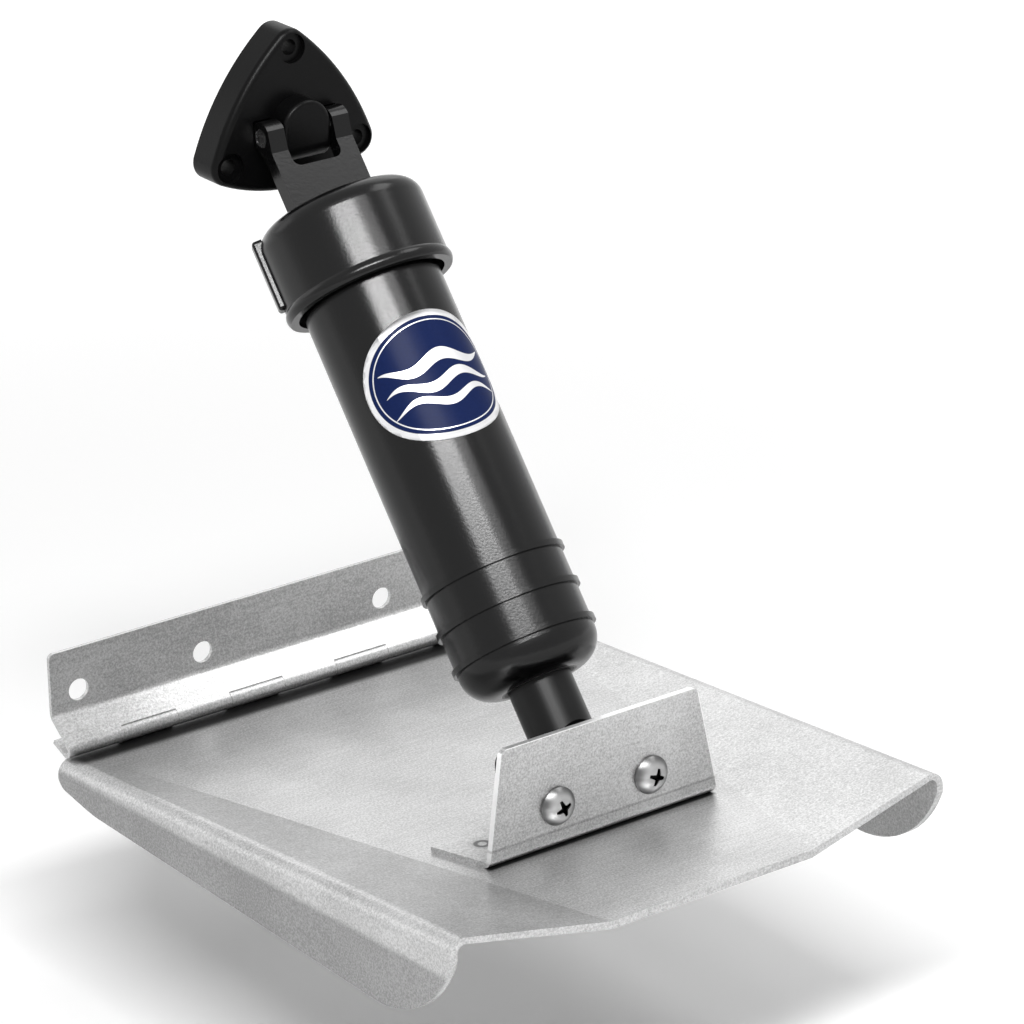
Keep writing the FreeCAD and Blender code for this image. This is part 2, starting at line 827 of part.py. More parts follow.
def make_lower_hinge():
    """Moulded block on the bracket with two ears for the ram's pin."""
    body = add_body("lower_hinge")
    face_y = -S["bracket_back"] + S["bracket_sheet"]
    plate_y = face_y + S["block_thickness"]
    foot_z = PLANE_TOP + S["bracket_sheet"]
    ear_top = LOWER_PIN_UP + S["lower_ear_radius"]
    half = S["block_width"] / 2
    plate = add_sketch(body, "XZ_Plane", "block_plate", lift=-face_y)
    draw_outline(
        plate,
        [
            (-half, foot_z),
            (half, foot_z),
            (half, ear_top, S["block_corner_radius"]),
            (-half, ear_top, S["block_corner_radius"]),
        ],
    )
    add_pad(body, plate, S["block_thickness"], Reversed=True)
    ear_start = S["ram_radius"] + S["eye_side_gap"]
    ear = add_sketch(body, "YZ_Plane", "block_ear", lift=ear_start)
    ear_front = LOWER_PIN_FORWARD + S["lower_ear_radius"]
    ear_foot = PLANE_TOP + S["screw_height"] - S["screw_radius"] - S["block_wall"]
    draw_outline(
        ear,
        [
            (plate_y, ear_foot),
            (ear_front, ear_foot, S["block_corner_radius"]),
            (ear_front, LOWER_PIN_UP),
            Bend(LOWER_PIN_FORWARD, LOWER_PIN_UP),
            (LOWER_PIN_FORWARD, ear_top),
            (plate_y, ear_top),
        ],
    )
    pad = add_pad(body, ear, S["lower_ear_width"])
    mirror(body, [pad], "YZ_Plane", grows=True)
    bore = add_sketch(body, "YZ_Plane", "block_bore")
    add_circle(bore, LOWER_PIN_FORWARD, LOWER_PIN_UP, S["lower_pin_radius"])
    cut_through(body, bore, SideType="Symmetric")
    holes = add_sketch(body, "XZ_Plane", "block_screw_holes", lift=-face_y)
    for side in (-1, 1):
        add_circle(
            holes, S["screw_spacing"] / 2 * side, PLANE_TOP + S["screw_height"], S["screw_radius"]
        )
    add_pocket(body, holes, S["screw_length"] - S["bracket_sheet"])
    fillet(
        body,
        S["bracket_bend_radius"] - S["bracket_sheet"],
        lambda edge: in_plane(edge, "y", face_y) and in_plane(edge, "z", foot_z),
    )
    place_on_plane(body)
    return body


def make_lower_pin():
    half = S["ram_radius"] + S["eye_side_gap"] + S["lower_ear_width"] - S["lower_pin_inset"]
    pin = add_cross_pin("lower_pin", S["lower_pin_radius"], half * 2)
    place(pin, LOWER_PIN_Y, LOWER_PIN_Z)
    return pin


def make_bracket_screws():
    """Two domed screws through the bracket into the lower hinge, with cross recesses."""
    body = add_body("bracket_screw")
    head = S["screw_head_radius"]
    height = S["screw_head_height"]
    dome = height - S["screw_head_rim"]
    dome_radius = (head * head + dome * dome) / (dome * 2)
    half = add_sketch(body, "XZ_Plane", "screw_half")
    draw_outline(
        half,
        [
            (ZERO, S["screw_length"]),
            (S["screw_radius"], S["screw_length"]),
            (S["screw_radius"], ZERO),
            (head, ZERO),
            (head, -S["screw_head_rim"]),
            Bend(ZERO, dome_radius - height, anticlockwise=False),
            (ZERO, -height),
        ],
    )
    revolve(body, half)
    cross = add_sketch(body, "XY_Plane", "screw_recess", lift=-height, turn=S["recess_turn"])
    arm = S["recess_arm"]
    tip = S["recess_tip"]
    web = S["recess_root"]
    draw_outline(
        cross,
        [
            (web, web),
            (tip, arm),
            (-tip, arm),
            (-web, web),
            (-arm, tip),
            (-arm, -tip),
            (-web, -web),
            (-tip, -arm),
            (tip, -arm),
            (web, -web),
            (arm, -tip),
            (arm, tip),
        ],
    )
    add_pocket(body, cross, S["recess_depth"], Reversed=True)
    # The screw's Z runs forward, into the bracket
    body.Placement = FreeCAD.Placement(
        FreeCAD.Vector(0, 0, 0), FreeCAD.Rotation(FreeCAD.Vector(-1, 0, 0), 90)
    )
    body.setExpression("Placement.Base.x", (S["screw_spacing"] / 2).text)
    body.setExpression("Placement.Base.y", (-S["bracket_back"]).text)
    body.setExpression("Placement.Base.z", (PLANE_TOP + S["screw_height"]).text)
    twin = DOC.addObject("Part::Mirroring", "bracket_screw_twin")
    twin.Source = body
    twin.Normal = FreeCAD.Vector(1, 0, 0)
    pair = DOC.addObject("Part::Compound", "bracket_screws")
    pair.Label = "bracket_screws"
    pair.Links = [body, twin]
    place_on_plane(pair)
    return pair


# Cylinder, measured down the ram's axis from the upper pin

def make_cylinder_cap():
    """One moulding: ears and stem above, the skirt round the barrel and a spigot inside it."""
    body = add_body("cylinder_cap")
    top = -S["cap_top"]
    bottom = -S["cap_bottom"]
    radius = S["cap_radius"]
    half_bead = S["bead_width"] / 2
    bead_round = half_bead * half_bead + S["bead_height"] * S["bead_height"]
    bead_centre = radius + S["bead_height"] - bead_round / (S["bead_height"] * 2)
    mouth = S["barrel_radius"] + S["mouth_gap"]
    seat = top - S["cap_wall"]
    spigot = S["bore_radius"] - S["spigot_fit"]
    spigot_end = seat - S["spigot_length"]
    section = S["cap_ring_section"]
    groove = seat - S["spigot_length"] / 2
    half = add_sketch(body, "XZ_Plane", "cap_half")
    draw_outline(
        half,
        [
            (ZERO, top),
            (radius, top, S["cap_edge_radius"]),
            (radius, bottom + S["bead_width"]),
            Bend(bead_centre, bottom + half_bead, anticlockwise=False),
            (radius, bottom),
            (mouth, bottom),
            (mouth, bottom + S["mouth_depth"]),
            (S["barrel_radius"], bottom + S["mouth_depth"]),
            (S["barrel_radius"], seat),
            (spigot, seat),
            (spigot, groove + section),
            (S["bore_radius"] - section * 2, groove + section),
            (S["bore_radius"] - section * 2, groove - section),
            (spigot, groove - section),
            (spigot, spigot_end),
            (ZERO, spigot_end),
        ],
    )
    revolve(body, half)

    ear = S["upper_ear_radius"]
    half_stem = S["stem_thickness"] / 2
    inner = S["boss_half_width"] + S["stem_side_gap"]
    root_z = top - S["cap_wall"] / 2
    stem = add_sketch(body, "XZ_Plane", "stem_face")
    draw_outline(
        stem,
        [
            (-STEM_HALF_WIDTH, root_z),
            (STEM_HALF_WIDTH, root_z),
            (STEM_HALF_WIDTH, ZERO),
            (inner, ZERO),
            (inner, -S["slot_bottom"], S["slot_corner_radius"]),
            (-inner, -S["slot_bottom"], S["slot_corner_radius"]),
            (-inner, ZERO),
            (-STEM_HALF_WIDTH, ZERO),
        ],
    )
    add_pad(body, stem, S["stem_thickness"], SideType="Symmetric")
    eye = add_sketch(body, "YZ_Plane", "ear_side", lift=inner)
    draw_outline(
        eye,
        [
            (half_stem, -S["ear_neck"]),
            (ear, ZERO),
            Bend(ZERO, ZERO),
            (-ear, ZERO),
            (-half_stem, -S["ear_neck"]),
        ],
    )
    pad = add_pad(body, eye, S["upper_ear_width"])
    mirror(body, [pad], "YZ_Plane", grows=True)
    bore = add_sketch(body, "YZ_Plane", "ear_bore")
    add_circle(bore, ZERO, ZERO, S["upper_pin_radius"] + S["upper_pin_fit"])
    cut_through(body, bore, SideType="Symmetric")

    drilling = add_sketch(body, "XY_Plane", "fluid_passage")
    add_circle(drilling, inner + S["upper_ear_width"] / 2, ZERO, S["passage_radius"])
    cut_through(body, drilling)

    lug = add_sketch(body, "XY_Plane", "lug_section", lift=-S["lug_bottom"], turn=S["lug_angle"])
    half_lug = S["lug_width"] / 2
    outer = radius + S["lug_proud"]
    draw_outline(
        lug,
        [
            (radius - S["lug_proud"], -half_lug),
            (outer, -half_lug, half_lug / 3),
            (outer, half_lug, half_lug / 3),
            (radius - S["lug_proud"], half_lug),
        ],
    )
    add_pad(body, lug, S["lug_bottom"] - S["lug_top"])
    fillet(
        body,
        S["lug_edge_radius"],
        lambda edge: (in_plane(edge, "z", -S["lug_top"]) or in_plane(edge, "z", -S["lug_bottom"]))
        and near(math.hypot(edge.CenterOfMass.x, edge.CenterOfMass.y), outer, half_lug.value / 2)
        and edge.CenterOfMass.x < 0,
    )
    place_on_axis(body)
    return body


def make_cylinder_barrel():
    """Ribbed barrel with a rounded lower end and a bored floor for the ram's guide."""
    body = add_body("cylinder_barrel")
    top = -S["cap_top"] - S["cap_wall"]
    end = -BARREL_END
    floor = end + S["barrel_floor"]
    outer = S["barrel_radius"]
    seat = S["ram_radius"] + S["guide_fit"] + S["guide_wall"]
    half = add_sketch(body, "XZ_Plane", "barrel_half")
    draw_outline(
        half,
        [
            (S["bore_radius"], top),
            (outer, top),
            (outer, end, S["barrel_end_radius"]),
            (seat, end),
            (seat, floor),
            (S["bore_radius"], floor),
        ],
    )
    revolve(body, half)
    rib = add_sketch(body, "XZ_Plane", "rib_section")
    rib_top = end + S["rib_above_end"]
    draw_box(
        rib, outer - S["rib_height"], outer + S["rib_height"], rib_top - S["rib_width"], rib_top
    )
    ring = revolve(body, rib)
    repeat(body, ring, "Z_Axis", S["rib_spacing"], RIB_COUNT, grows=True, backward=True)
    place_on_axis(body)
    return body


def make_cap_o_ring():
    ring = DOC.addObject("Part::Torus", "cap_o_ring")
    ring.Label = "cap_o_ring"
    section = S["cap_ring_section"]
    ring.setExpression("Radius1", (S["bore_radius"] - section).text)
    ring.setExpression("Radius2", section.text)
    down = S["cap_top"] + S["cap_wall"] + S["spigot_length"] / 2
    place(
        ring,
        -S["upper_pin_out"] - down * RAM_REACH / S["pin_to_pin"],
        UPPER_PIN_Z - down * RAM_RISE / S["pin_to_pin"],
        RAM_LEAN,
    )
    return ring


def make_rod_guide():
    """Flanged bush in the barrel's floor, open at its outer end for the wiper."""
    body = add_body("rod_guide")
    end = -BARREL_END
    floor = end + S["barrel_floor"]
    bore = S["ram_radius"] + S["guide_fit"]
    wiper = bore + S["wiper_depth"]
    half = add_sketch(body, "XZ_Plane", "guide_half")
    draw_outline(
        half,
        [
            (bore, floor + S["guide_flange"]),
            (S["bore_radius"] - S["guide_fit"], floor + S["guide_flange"]),
            (S["bore_radius"] - S["guide_fit"], floor),
            (bore + S["guide_wall"], floor),
            (bore + S["guide_wall"], end),
            (wiper, end),
            (wiper, end + S["wiper_height"]),
            (bore, end + S["wiper_height"]),
        ],
    )
    revolve(body, half)
    place_on_axis(body)
    return body


def make_rod_wiper():
    body = add_body("rod_wiper")
    end = -BARREL_END
    bore = S["ram_radius"] + S["guide_fit"]
    half = add_sketch(body, "XZ_Plane", "wiper_half")
    draw_outline(
        half,
        [
            (bore, end),
            (bore + S["wiper_depth"], end),
            (bore + S["wiper_depth"], end + S["wiper_height"]),
            (bore + S["wiper_depth"] / 2, end + S["wiper_height"]),
        ],
    )
    revolve(body, half)
    place_on_axis(body)
    return body


def make_return_spring():
    """Coil spring between the guide's flange and the piston, which lifts the plane."""
    body = add_body("return_spring")
    wire = S["spring_wire_radius"]
    low = -BARREL_END + S["barrel_floor"] + S["guide_flange"] + wire
    high = -S["piston_top"] - S["piston_height"] - wire
    section = add_sketch(body, "XZ_Plane", "wire_section")
    add_circle(section, S["spring_radius"], low, wire)
    add_feature(
        body,
        "AdditiveHelix",
        True,
        Profile=section,
        ReferenceAxis=(section, ["V_Axis"]),
        Mode="height-turns-angle",
        Height=high - low,
        Turns=S["spring_turns"],
    )
    place_on_axis(body)
    return body


# Ram

def make_ram():
    """Round rod with a spigot for the piston and a flat-sided eye for the lower pin."""
    body = add_body("ram")
    radius = S["ram_radius"]
    eye = S["eye_radius"]
    pin = -S["pin_to_pin"]
    shoulder = -S["piston_top"] - S["piston_height"]
    tip = -S["piston_top"] - S["piston_screw_head_height"]
    hole_end = tip + S["piston_screw_head_height"] - S["piston_screw_length"]
    half = add_sketch(body, "XZ_Plane", "ram_half")
    draw_outline(
        half,
        [
            (S["piston_screw_radius"], tip),
            (S["spigot_radius"], tip),
            (S["spigot_radius"], shoulder),
            (radius, shoulder),
            (radius, pin - eye),
            (ZERO, pin - eye),
            (ZERO, hole_end),
            (S["piston_screw_radius"], hole_end),
        ],
    )
    revolve(body, half)
    neck = pin + S["eye_flat_length"]
    far = radius * 2
    flats = add_sketch(body, "YZ_Plane", "eye_outline")
    draw_outline(
        flats,
        [
            (-far, neck + (far - eye)),
            (-eye, neck),
            (-eye, pin),
            Bend(ZERO, pin),
            (eye, pin),
            (eye, neck),
            (far, neck + (far - eye)),
            (far, pin - far),
            (-far, pin - far),
        ],
    )
    cut_through(body, flats, SideType="Symmetric")
    bore = add_sketch(body, "YZ_Plane", "eye_bore")
    add_circle(bore, ZERO, pin, S["lower_pin_radius"] + S["open_pivot_fit"])
    cut_through(body, bore, SideType="Symmetric")
    place_on_axis(body)
    return body


def make_piston():
    """Piston with a groove for its seal and one for its bearing ring."""
    body = add_body("piston")
    top = -S["piston_top"]
    bottom = top - S["piston_height"]
    outer = S["bore_radius"] - S["piston_fit"]
    groove = S["bore_radius"] - S["ring_depth"]
    seal_top = top - S["ring_edge"]
    bearing_bottom = bottom + S["ring_edge"]
    half = add_sketch(body, "XZ_Plane", "piston_half")
    recess = S["piston_screw_head_height"]
    draw_outline(
        half,
        [
            (S["piston_screw_head"] + S["piston_fit"], top),
            (outer, top),
            (outer, seal_top),
            (groove, seal_top),
            (groove, seal_top - S["ring_height"]),
            (outer, seal_top - S["ring_height"]),
            (outer, bearing_bottom + S["ring_height"]),
            (groove, bearing_bottom + S["ring_height"]),
            (groove, bearing_bottom),
            (outer, bearing_bottom),
            (outer, bottom),
            (S["spigot_radius"], bottom),
            (S["spigot_radius"], top - recess),
            (S["piston_screw_head"] + S["piston_fit"], top - recess),
        ],
    )
    revolve(body, half)
    place_on_axis(body)
    return body


def make_piston_ring(name, top):
    """A ring that fills one of the piston's grooves and runs on the bore."""
    body = add_body(name)
    section = add_sketch(body, "XZ_Plane", name + "_section")
    inner = S["bore_radius"] - S["ring_depth"]
    draw_box(section, inner, S["bore_radius"] - S["ring_fit"], top - S["ring_height"], top)
    revolve(body, section)
    place_on_axis(body)
    return body


def make_piston_screw():
    body = add_body("piston_screw")
    top = -S["piston_top"]
    seat = top - S["piston_screw_head_height"]
    head = S["piston_screw_head"]
    end = top - S["piston_screw_length"]
    half = add_sketch(body, "XZ_Plane", "piston_screw_half")
    draw_outline(
        half,
        [
            (ZERO, top),
            (head, top, S["piston_screw_head_height"] / 3),
            (head, seat),
            (S["piston_screw_radius"], seat),
            (S["piston_screw_radius"], end),
            (ZERO, end),
        ],
    )
    revolve(body, half)
    place_on_axis(body)
    return body


# Mounting base and upper pin

def make_mounting_base():
    """Three-screw base with round corners and bulging sides, and a boss for the upper pin."""
    body = add_body("mounting_base")
    thick = S["base_thickness"]
    corner = S["base_corner_radius"]
    foot_x = S["base_hole_spacing"] / 2
    foot_z = -S["base_hole_drop"]
    rise = S["base_hole_rise"]
    top_z = foot_z + rise
    holes = [(foot_x, foot_z), (ZERO, top_z), (-foot_x, foot_z)]
    # A side's centre lies at its reach from the two corners' centres that it joins
    side_reach = S["base_side_radius"] - corner
    side = root(rise * rise + foot_x * foot_x)
    depth = root(side_reach * side_reach - side * side / 4)
    side_x = foot_x / 2 - depth * rise / side
    side_z = foot_z + rise / 2 - depth * foot_x / side
    bottom_reach = S["base_bottom_radius"] - corner
    bottom_z = foot_z + root(bottom_reach * bottom_reach - foot_x * foot_x)
    side_share = corner / side_reach
    bottom_share = corner / bottom_reach
    bottom_corner = (foot_x + foot_x * bottom_share, foot_z - (bottom_z - foot_z) * bottom_share)
    low_corner = (foot_x + (foot_x - side_x) * side_share, foot_z + (foot_z - side_z) * side_share)
    high_corner = (-side_x * side_share, top_z + (top_z - side_z) * side_share)
    outline = [
        bottom_corner,
        Bend(foot_x, foot_z),
        low_corner,
        Bend(side_x, side_z),
        high_corner,
        Bend(ZERO, top_z),
        (-high_corner[0], high_corner[1]),
        Bend(-side_x, side_z),
        (-low_corner[0], low_corner[1]),
        Bend(-foot_x, foot_z),
        (-bottom_corner[0], bottom_corner[1]),
        Bend(ZERO, bottom_z),
    ]
    plate = add_sketch(body, "XZ_Plane", "base_outline")
    draw_outline(plate, outline)
    add_pad(body, plate, thick)
    fillet(body, S["base_edge_radius"], lambda edge: in_plane(edge, "y", -thick))

    half = S["boss_half_width"]
    arch = S["boss_above"] - half
    boss = add_sketch(body, "XZ_Plane", "boss_outline", lift=thick)
    draw_outline(
        boss,
        [
            (-half, -S["boss_below"]),
            (half, -S["boss_below"]),
            (half, arch),
            Bend(ZERO, arch),
            (-half, arch),
        ],
    )
    add_pad(body, boss, S["boss_proud"])
    front = -thick - S["boss_proud"]
    fillet(
        body,
        S["boss_chin_radius"],
        lambda edge: in_plane(edge, "y", front) and in_plane(edge, "z", -S["boss_below"]),
    )
    fillet(
        body,
        S["boss_edge_radius"],
        lambda edge: in_plane(edge, "y", front) and edge.Curve.TypeId == "Part::GeomCircle",
    )

    pin_y = -S["upper_pin_out"]
    pocket = add_sketch(body, "YZ_Plane", "ear_pocket", lift=half)
    add_circle(pocket, pin_y, ZERO, S["upper_ear_radius"] + S["ear_pocket_gap"])
    width = S["upper_ear_width"] + S["stem_side_gap"] * 2
    cut = add_pocket(body, pocket, width, Reversed=True)
    mirror(body, [cut], "YZ_Plane", grows=False)
    bore = add_sketch(body, "YZ_Plane", "boss_bore")
    add_circle(bore, pin_y, ZERO, S["upper_pin_radius"] + S["upper_pin_fit"])
    add_pocket(body, bore, half * 2 + S["stem_side_gap"], SideType="Symmetric")

    screws = add_sketch(body, "XZ_Plane", "screw_holes")
    pads = add_sketch(body, "XZ_Plane", "screw_pads", lift=thick)
    for x, z in holes:
        add_circle(screws, x, z, S["base_hole_radius"])
        add_circle(pads, x, z, S["pad_radius"])
    cut_through(body, screws, Reversed=True)
    add_pocket(body, pads, S["pad_depth"])
    port = add_sketch(body, "XZ_Plane", "hose_port")
    add_circle(port, ZERO, ZERO, S["port_radius"])
    add_pocket(body, port, S["port_depth"], Reversed=True)
    passage = add_sketch(body, "XZ_Plane", "port_passage")
    add_circle(passage, ZERO, ZERO, S["passage_radius"])
    add_pocket(body, passage, S["upper_pin_out"], Reversed=True)
    place(body, ZERO, UPPER_PIN_Z)
    return body


def pin_ring_places():
    """Where the small seals sit along the upper pin: two in the boss, two in the ear that is drilled."""
    ear = S["boss_half_width"] + S["stem_side_gap"] + S["upper_ear_width"] / 2
    half_step = S["pin_ring_spacing"] / 2
    return [-S["boss_ring_place"], S["boss_ring_place"], ear - half_step, ear + half_step]


def make_upper_pin():
    """Pin with grooves for its seals, drilled from the middle to the ear for the fluid."""
    body = add_body("upper_pin")
    radius = S["upper_pin_radius"]
    half_length = STEM_HALF_WIDTH - S["stem_side_gap"]
    section = S["pin_ring_section"]
    depth = radius - section * 2
    profile = [(-half_length, ZERO), (-half_length, radius)]
    for place_x in pin_ring_places():
        profile.append((place_x - section, radius))
        profile.append((place_x - section, depth))
        profile.append((place_x + section, depth))
        profile.append((place_x + section, radius))
    profile.append((half_length, radius))
    profile.append((half_length, ZERO))
    half = add_sketch(body, "XY_Plane", "upper_pin_half")
    draw_outline(half, profile)
    revolve(body, half, axis="H_Axis")
    ear = S["boss_half_width"] + S["stem_side_gap"] + S["upper_ear_width"] / 2
    bore = add_sketch(body, "YZ_Plane", "long_drilling")
    add_circle(bore, ZERO, ZERO, S["pin_drilling_radius"])
    add_pocket(body, bore, ear, Reversed=True)
    inlet = add_sketch(body, "XZ_Plane", "inlet_drilling")
    add_circle(inlet, ZERO, ZERO, S["pin_drilling_radius"])
    add_pocket(body, inlet, radius * 2)
    outlet = add_sketch(body, "XY_Plane", "outlet_drilling")
    add_circle(outlet, ear, ZERO, S["pin_drilling_radius"] / 2)
    add_pocket(body, outlet, radius * 2)
    place(body, -S["upper_pin_out"], UPPER_PIN_Z)
    return body


def make_upper_pin_o_rings():
    rings = []
    section = S["pin_ring_section"]
    for index, place_x in enumerate(pin_ring_places(), start=1):
        ring = DOC.addObject("Part::Torus", "upper_pin_o_ring_%d" % index)
        ring.setExpression("Radius1", (S["upper_pin_radius"] - section).text)
        ring.setExpression("Radius2", section.text)
        ring.Placement = FreeCAD.Placement(
            FreeCAD.Vector(0, 0, 0), FreeCAD.Rotation(FreeCAD.Vector(0, 1, 0), 90)
        )
        ring.setExpression("Placement.Base.x", place_x.text)
        rings.append(ring)
    group = DOC.addObject("Part::Compound", "upper_pin_o_rings")
    group.Label = "upper_pin_o_rings"
    group.Links = rings
    place(group, -S["upper_pin_out"], UPPER_PIN_Z)
    return group


def check_document():
    for item in DOC.Objects:
        if "Invalid" in item.State or "Error" in item.State:
            raise RuntimeError("%s could not be worked out" % item.Label)


def main():
    seal_top = -S["piston_top"] - S["ring_edge"]
    bearing_top = -S["piston_top"] - S["piston_height"] + S["ring_edge"] + S["ring_height"]
    pieces = [
        make_transom_hinge_leaf(),
        make_hinge_pin(),
        make_mounting_base(),
        make_upper_pin(),
        make_upper_pin_o_rings(),
        make_trim_plane(),
        make_plane_hinge_leaf(),
        make_ram_bracket(),
        make_lower_hinge(),
        make_bracket_screws(),
        make_lower_pin(),
        make_cylinder_cap(),
        make_cylinder_barrel(),
        make_cap_o_ring(),
        make_rod_guide(),
        make_rod_wiper(),
        make_return_spring(),
        make_ram(),
        make_piston(),
        make_piston_ring("piston_seal", seal_top),
        make_piston_ring("piston_bearing", bearing_top),
        make_piston_screw(),
    ]
    DOC.recompute()
    check_document()
    for piece in pieces:
        if piece.Shape.isNull() or not piece.Shape.isValid():
            raise RuntimeError("%s has no valid shape" % piece.Label)
    os.makedirs("parts", exist_ok=True)
    for piece in pieces:
        piece.Shape.exportStep("parts/%s.step" % piece.Label)
        box = piece.Shape.BoundBox
        print(piece.Label, len(piece.Shape.Solids), "solids, volume %.0f" % piece.Shape.Volume, box)


main()
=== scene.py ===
import json
import math

import bmesh
import bpy
from bpy.props import FloatProperty, FloatVectorProperty, IntProperty, PointerProperty
from mathutils import Matrix, Vector


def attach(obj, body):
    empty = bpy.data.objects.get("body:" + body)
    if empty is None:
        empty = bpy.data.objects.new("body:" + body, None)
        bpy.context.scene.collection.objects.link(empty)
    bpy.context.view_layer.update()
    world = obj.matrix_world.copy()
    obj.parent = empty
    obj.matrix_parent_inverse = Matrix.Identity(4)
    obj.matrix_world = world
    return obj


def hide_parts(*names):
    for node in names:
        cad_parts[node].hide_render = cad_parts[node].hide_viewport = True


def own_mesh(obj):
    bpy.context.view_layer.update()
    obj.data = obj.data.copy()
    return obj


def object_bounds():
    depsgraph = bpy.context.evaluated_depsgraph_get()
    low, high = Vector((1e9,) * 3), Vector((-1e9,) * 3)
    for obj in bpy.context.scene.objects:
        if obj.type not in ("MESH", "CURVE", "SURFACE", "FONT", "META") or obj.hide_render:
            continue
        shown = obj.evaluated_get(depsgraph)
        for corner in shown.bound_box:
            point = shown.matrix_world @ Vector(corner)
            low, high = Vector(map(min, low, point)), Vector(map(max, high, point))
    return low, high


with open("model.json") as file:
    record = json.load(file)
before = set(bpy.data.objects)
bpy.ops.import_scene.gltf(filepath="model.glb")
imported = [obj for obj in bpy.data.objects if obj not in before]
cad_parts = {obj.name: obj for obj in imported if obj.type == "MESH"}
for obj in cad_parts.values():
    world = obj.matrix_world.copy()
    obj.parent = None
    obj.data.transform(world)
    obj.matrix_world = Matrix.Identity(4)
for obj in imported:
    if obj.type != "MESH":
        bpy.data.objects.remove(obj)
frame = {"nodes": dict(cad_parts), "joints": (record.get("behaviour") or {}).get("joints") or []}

bl_info = {
    "name": "Boat Trim Tab",
    "version": (1, 0, 0),
    "blender": (4, 5, 0),
    "location": "3D View > Sidebar > Trim Tab",
    "description": "Finishes a stainless trim tab with its hydraulic ram, and sets its studio",
    "category": "Object",
}

CAD_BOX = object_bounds()
JOINTS = {joint["name"]: joint for joint in frame["joints"]}
UPPER_PIN = Vector(JOINTS["cylinder_swing"]["pos_m"])
HINGE_PIN = Vector(JOINTS["plane_tilt"]["pos_m"])
RAM_TRAVEL = Vector(JOINTS["ram_slide"]["axis"])
RAM_LEAN = math.atan2(-RAM_TRAVEL.y, -RAM_TRAVEL.z)
REST_TILT = math.radians(3.0)

# Turns of the frames that the patterns lie in: the row's, the plane's at rest and the ram's.
LEVEL = (0.0, 0.0, 0.0)
ALONG_PLANE = (-REST_TILT, 0.0, 0.0)
ALONG_RAM = (-RAM_LEAN, 0.0, 0.0)

# Specular levels of the black finishes and of the label.
BASE_GLOSS = 0.1
CYLINDER_GLOSS = 0.27
ROD_GLOSS = 0.2
LABEL_GLOSS = 0.05

# Near black, used as painted shade on the plane, the bracket's bend and the screws, and on the
# guide's rim.
NEAR_BLACK = (0.012, 0.012, 0.012, 1.0)
WELD_BURN = (0.1, 0.1, 0.1, 1.0)
# Pale colour, used as a painted highlight on the bracket's sheared edges.
EDGE_HIGHLIGHT = (0.95, 0.95, 0.95, 1.0)
WHITE = (1.0, 1.0, 1.0, 1.0)

PIN_NODES = ("hinge_pin", "upper_pin", "lower_pin", "piston_screw")
LEAF_NODES = ("transom_hinge_leaf", "plane_hinge_leaf")
BASE_NODES = ("mounting_base", "lower_hinge")
CYLINDER_NODES = ("cylinder_cap", "cylinder_barrel")
SEAL_NODES = ("upper_pin_o_rings", "cap_o_ring", "rod_wiper", "piston_seal")
GUIDE_NODES = ("rod_guide", "piston", "piston_bearing")


# Node writing

class Term:
    """A socket of a material, on which plain arithmetic adds Math nodes."""

    def __init__(self, finish, socket):
        self.finish = finish
        self.socket = socket

    def math(self, operation, *terms):
        return self.finish.node("ShaderNodeMath", {"operation": operation}, terms)

    def __add__(self, other):
        return self.math("ADD", self, other)

    def __sub__(self, other):
        return self.math("SUBTRACT", self, other)

    def __rsub__(self, other):
        return self.math("SUBTRACT", other, self)

    def __mul__(self, other):
        return self.math("MULTIPLY", self, other)

    def __truediv__(self, other):
        return self.math("DIVIDE", self, other)

    def __pow__(self, other):
        return self.math("POWER", self, other)

    def __abs__(self):
        return self.math("ABSOLUTE", self)

    __radd__ = __add__
    __rmul__ = __mul__

    def least(self, other):
        return self.math("MINIMUM", self, other)

    def most(self, other):
        return self.math("MAXIMUM", self, other)

    def sine(self):
        return self.math("SINE", self)

    def fade(self, none, full):
        """A soft step that is 0 at none and past it, and 1 at full and past it."""
        settings = {"interpolation_type": "SMOOTHSTEP", "clamp": True}
        inputs = {"Value": self, "From Min": none, "From Max": full}
        return self.finish.node("ShaderNodeMapRange", settings, inputs)

    def parts(self):
        split = self.finish.node("ShaderNodeSeparateXYZ", {}, (self,))
        return [Term(self.finish, socket) for socket in split.socket.node.outputs]


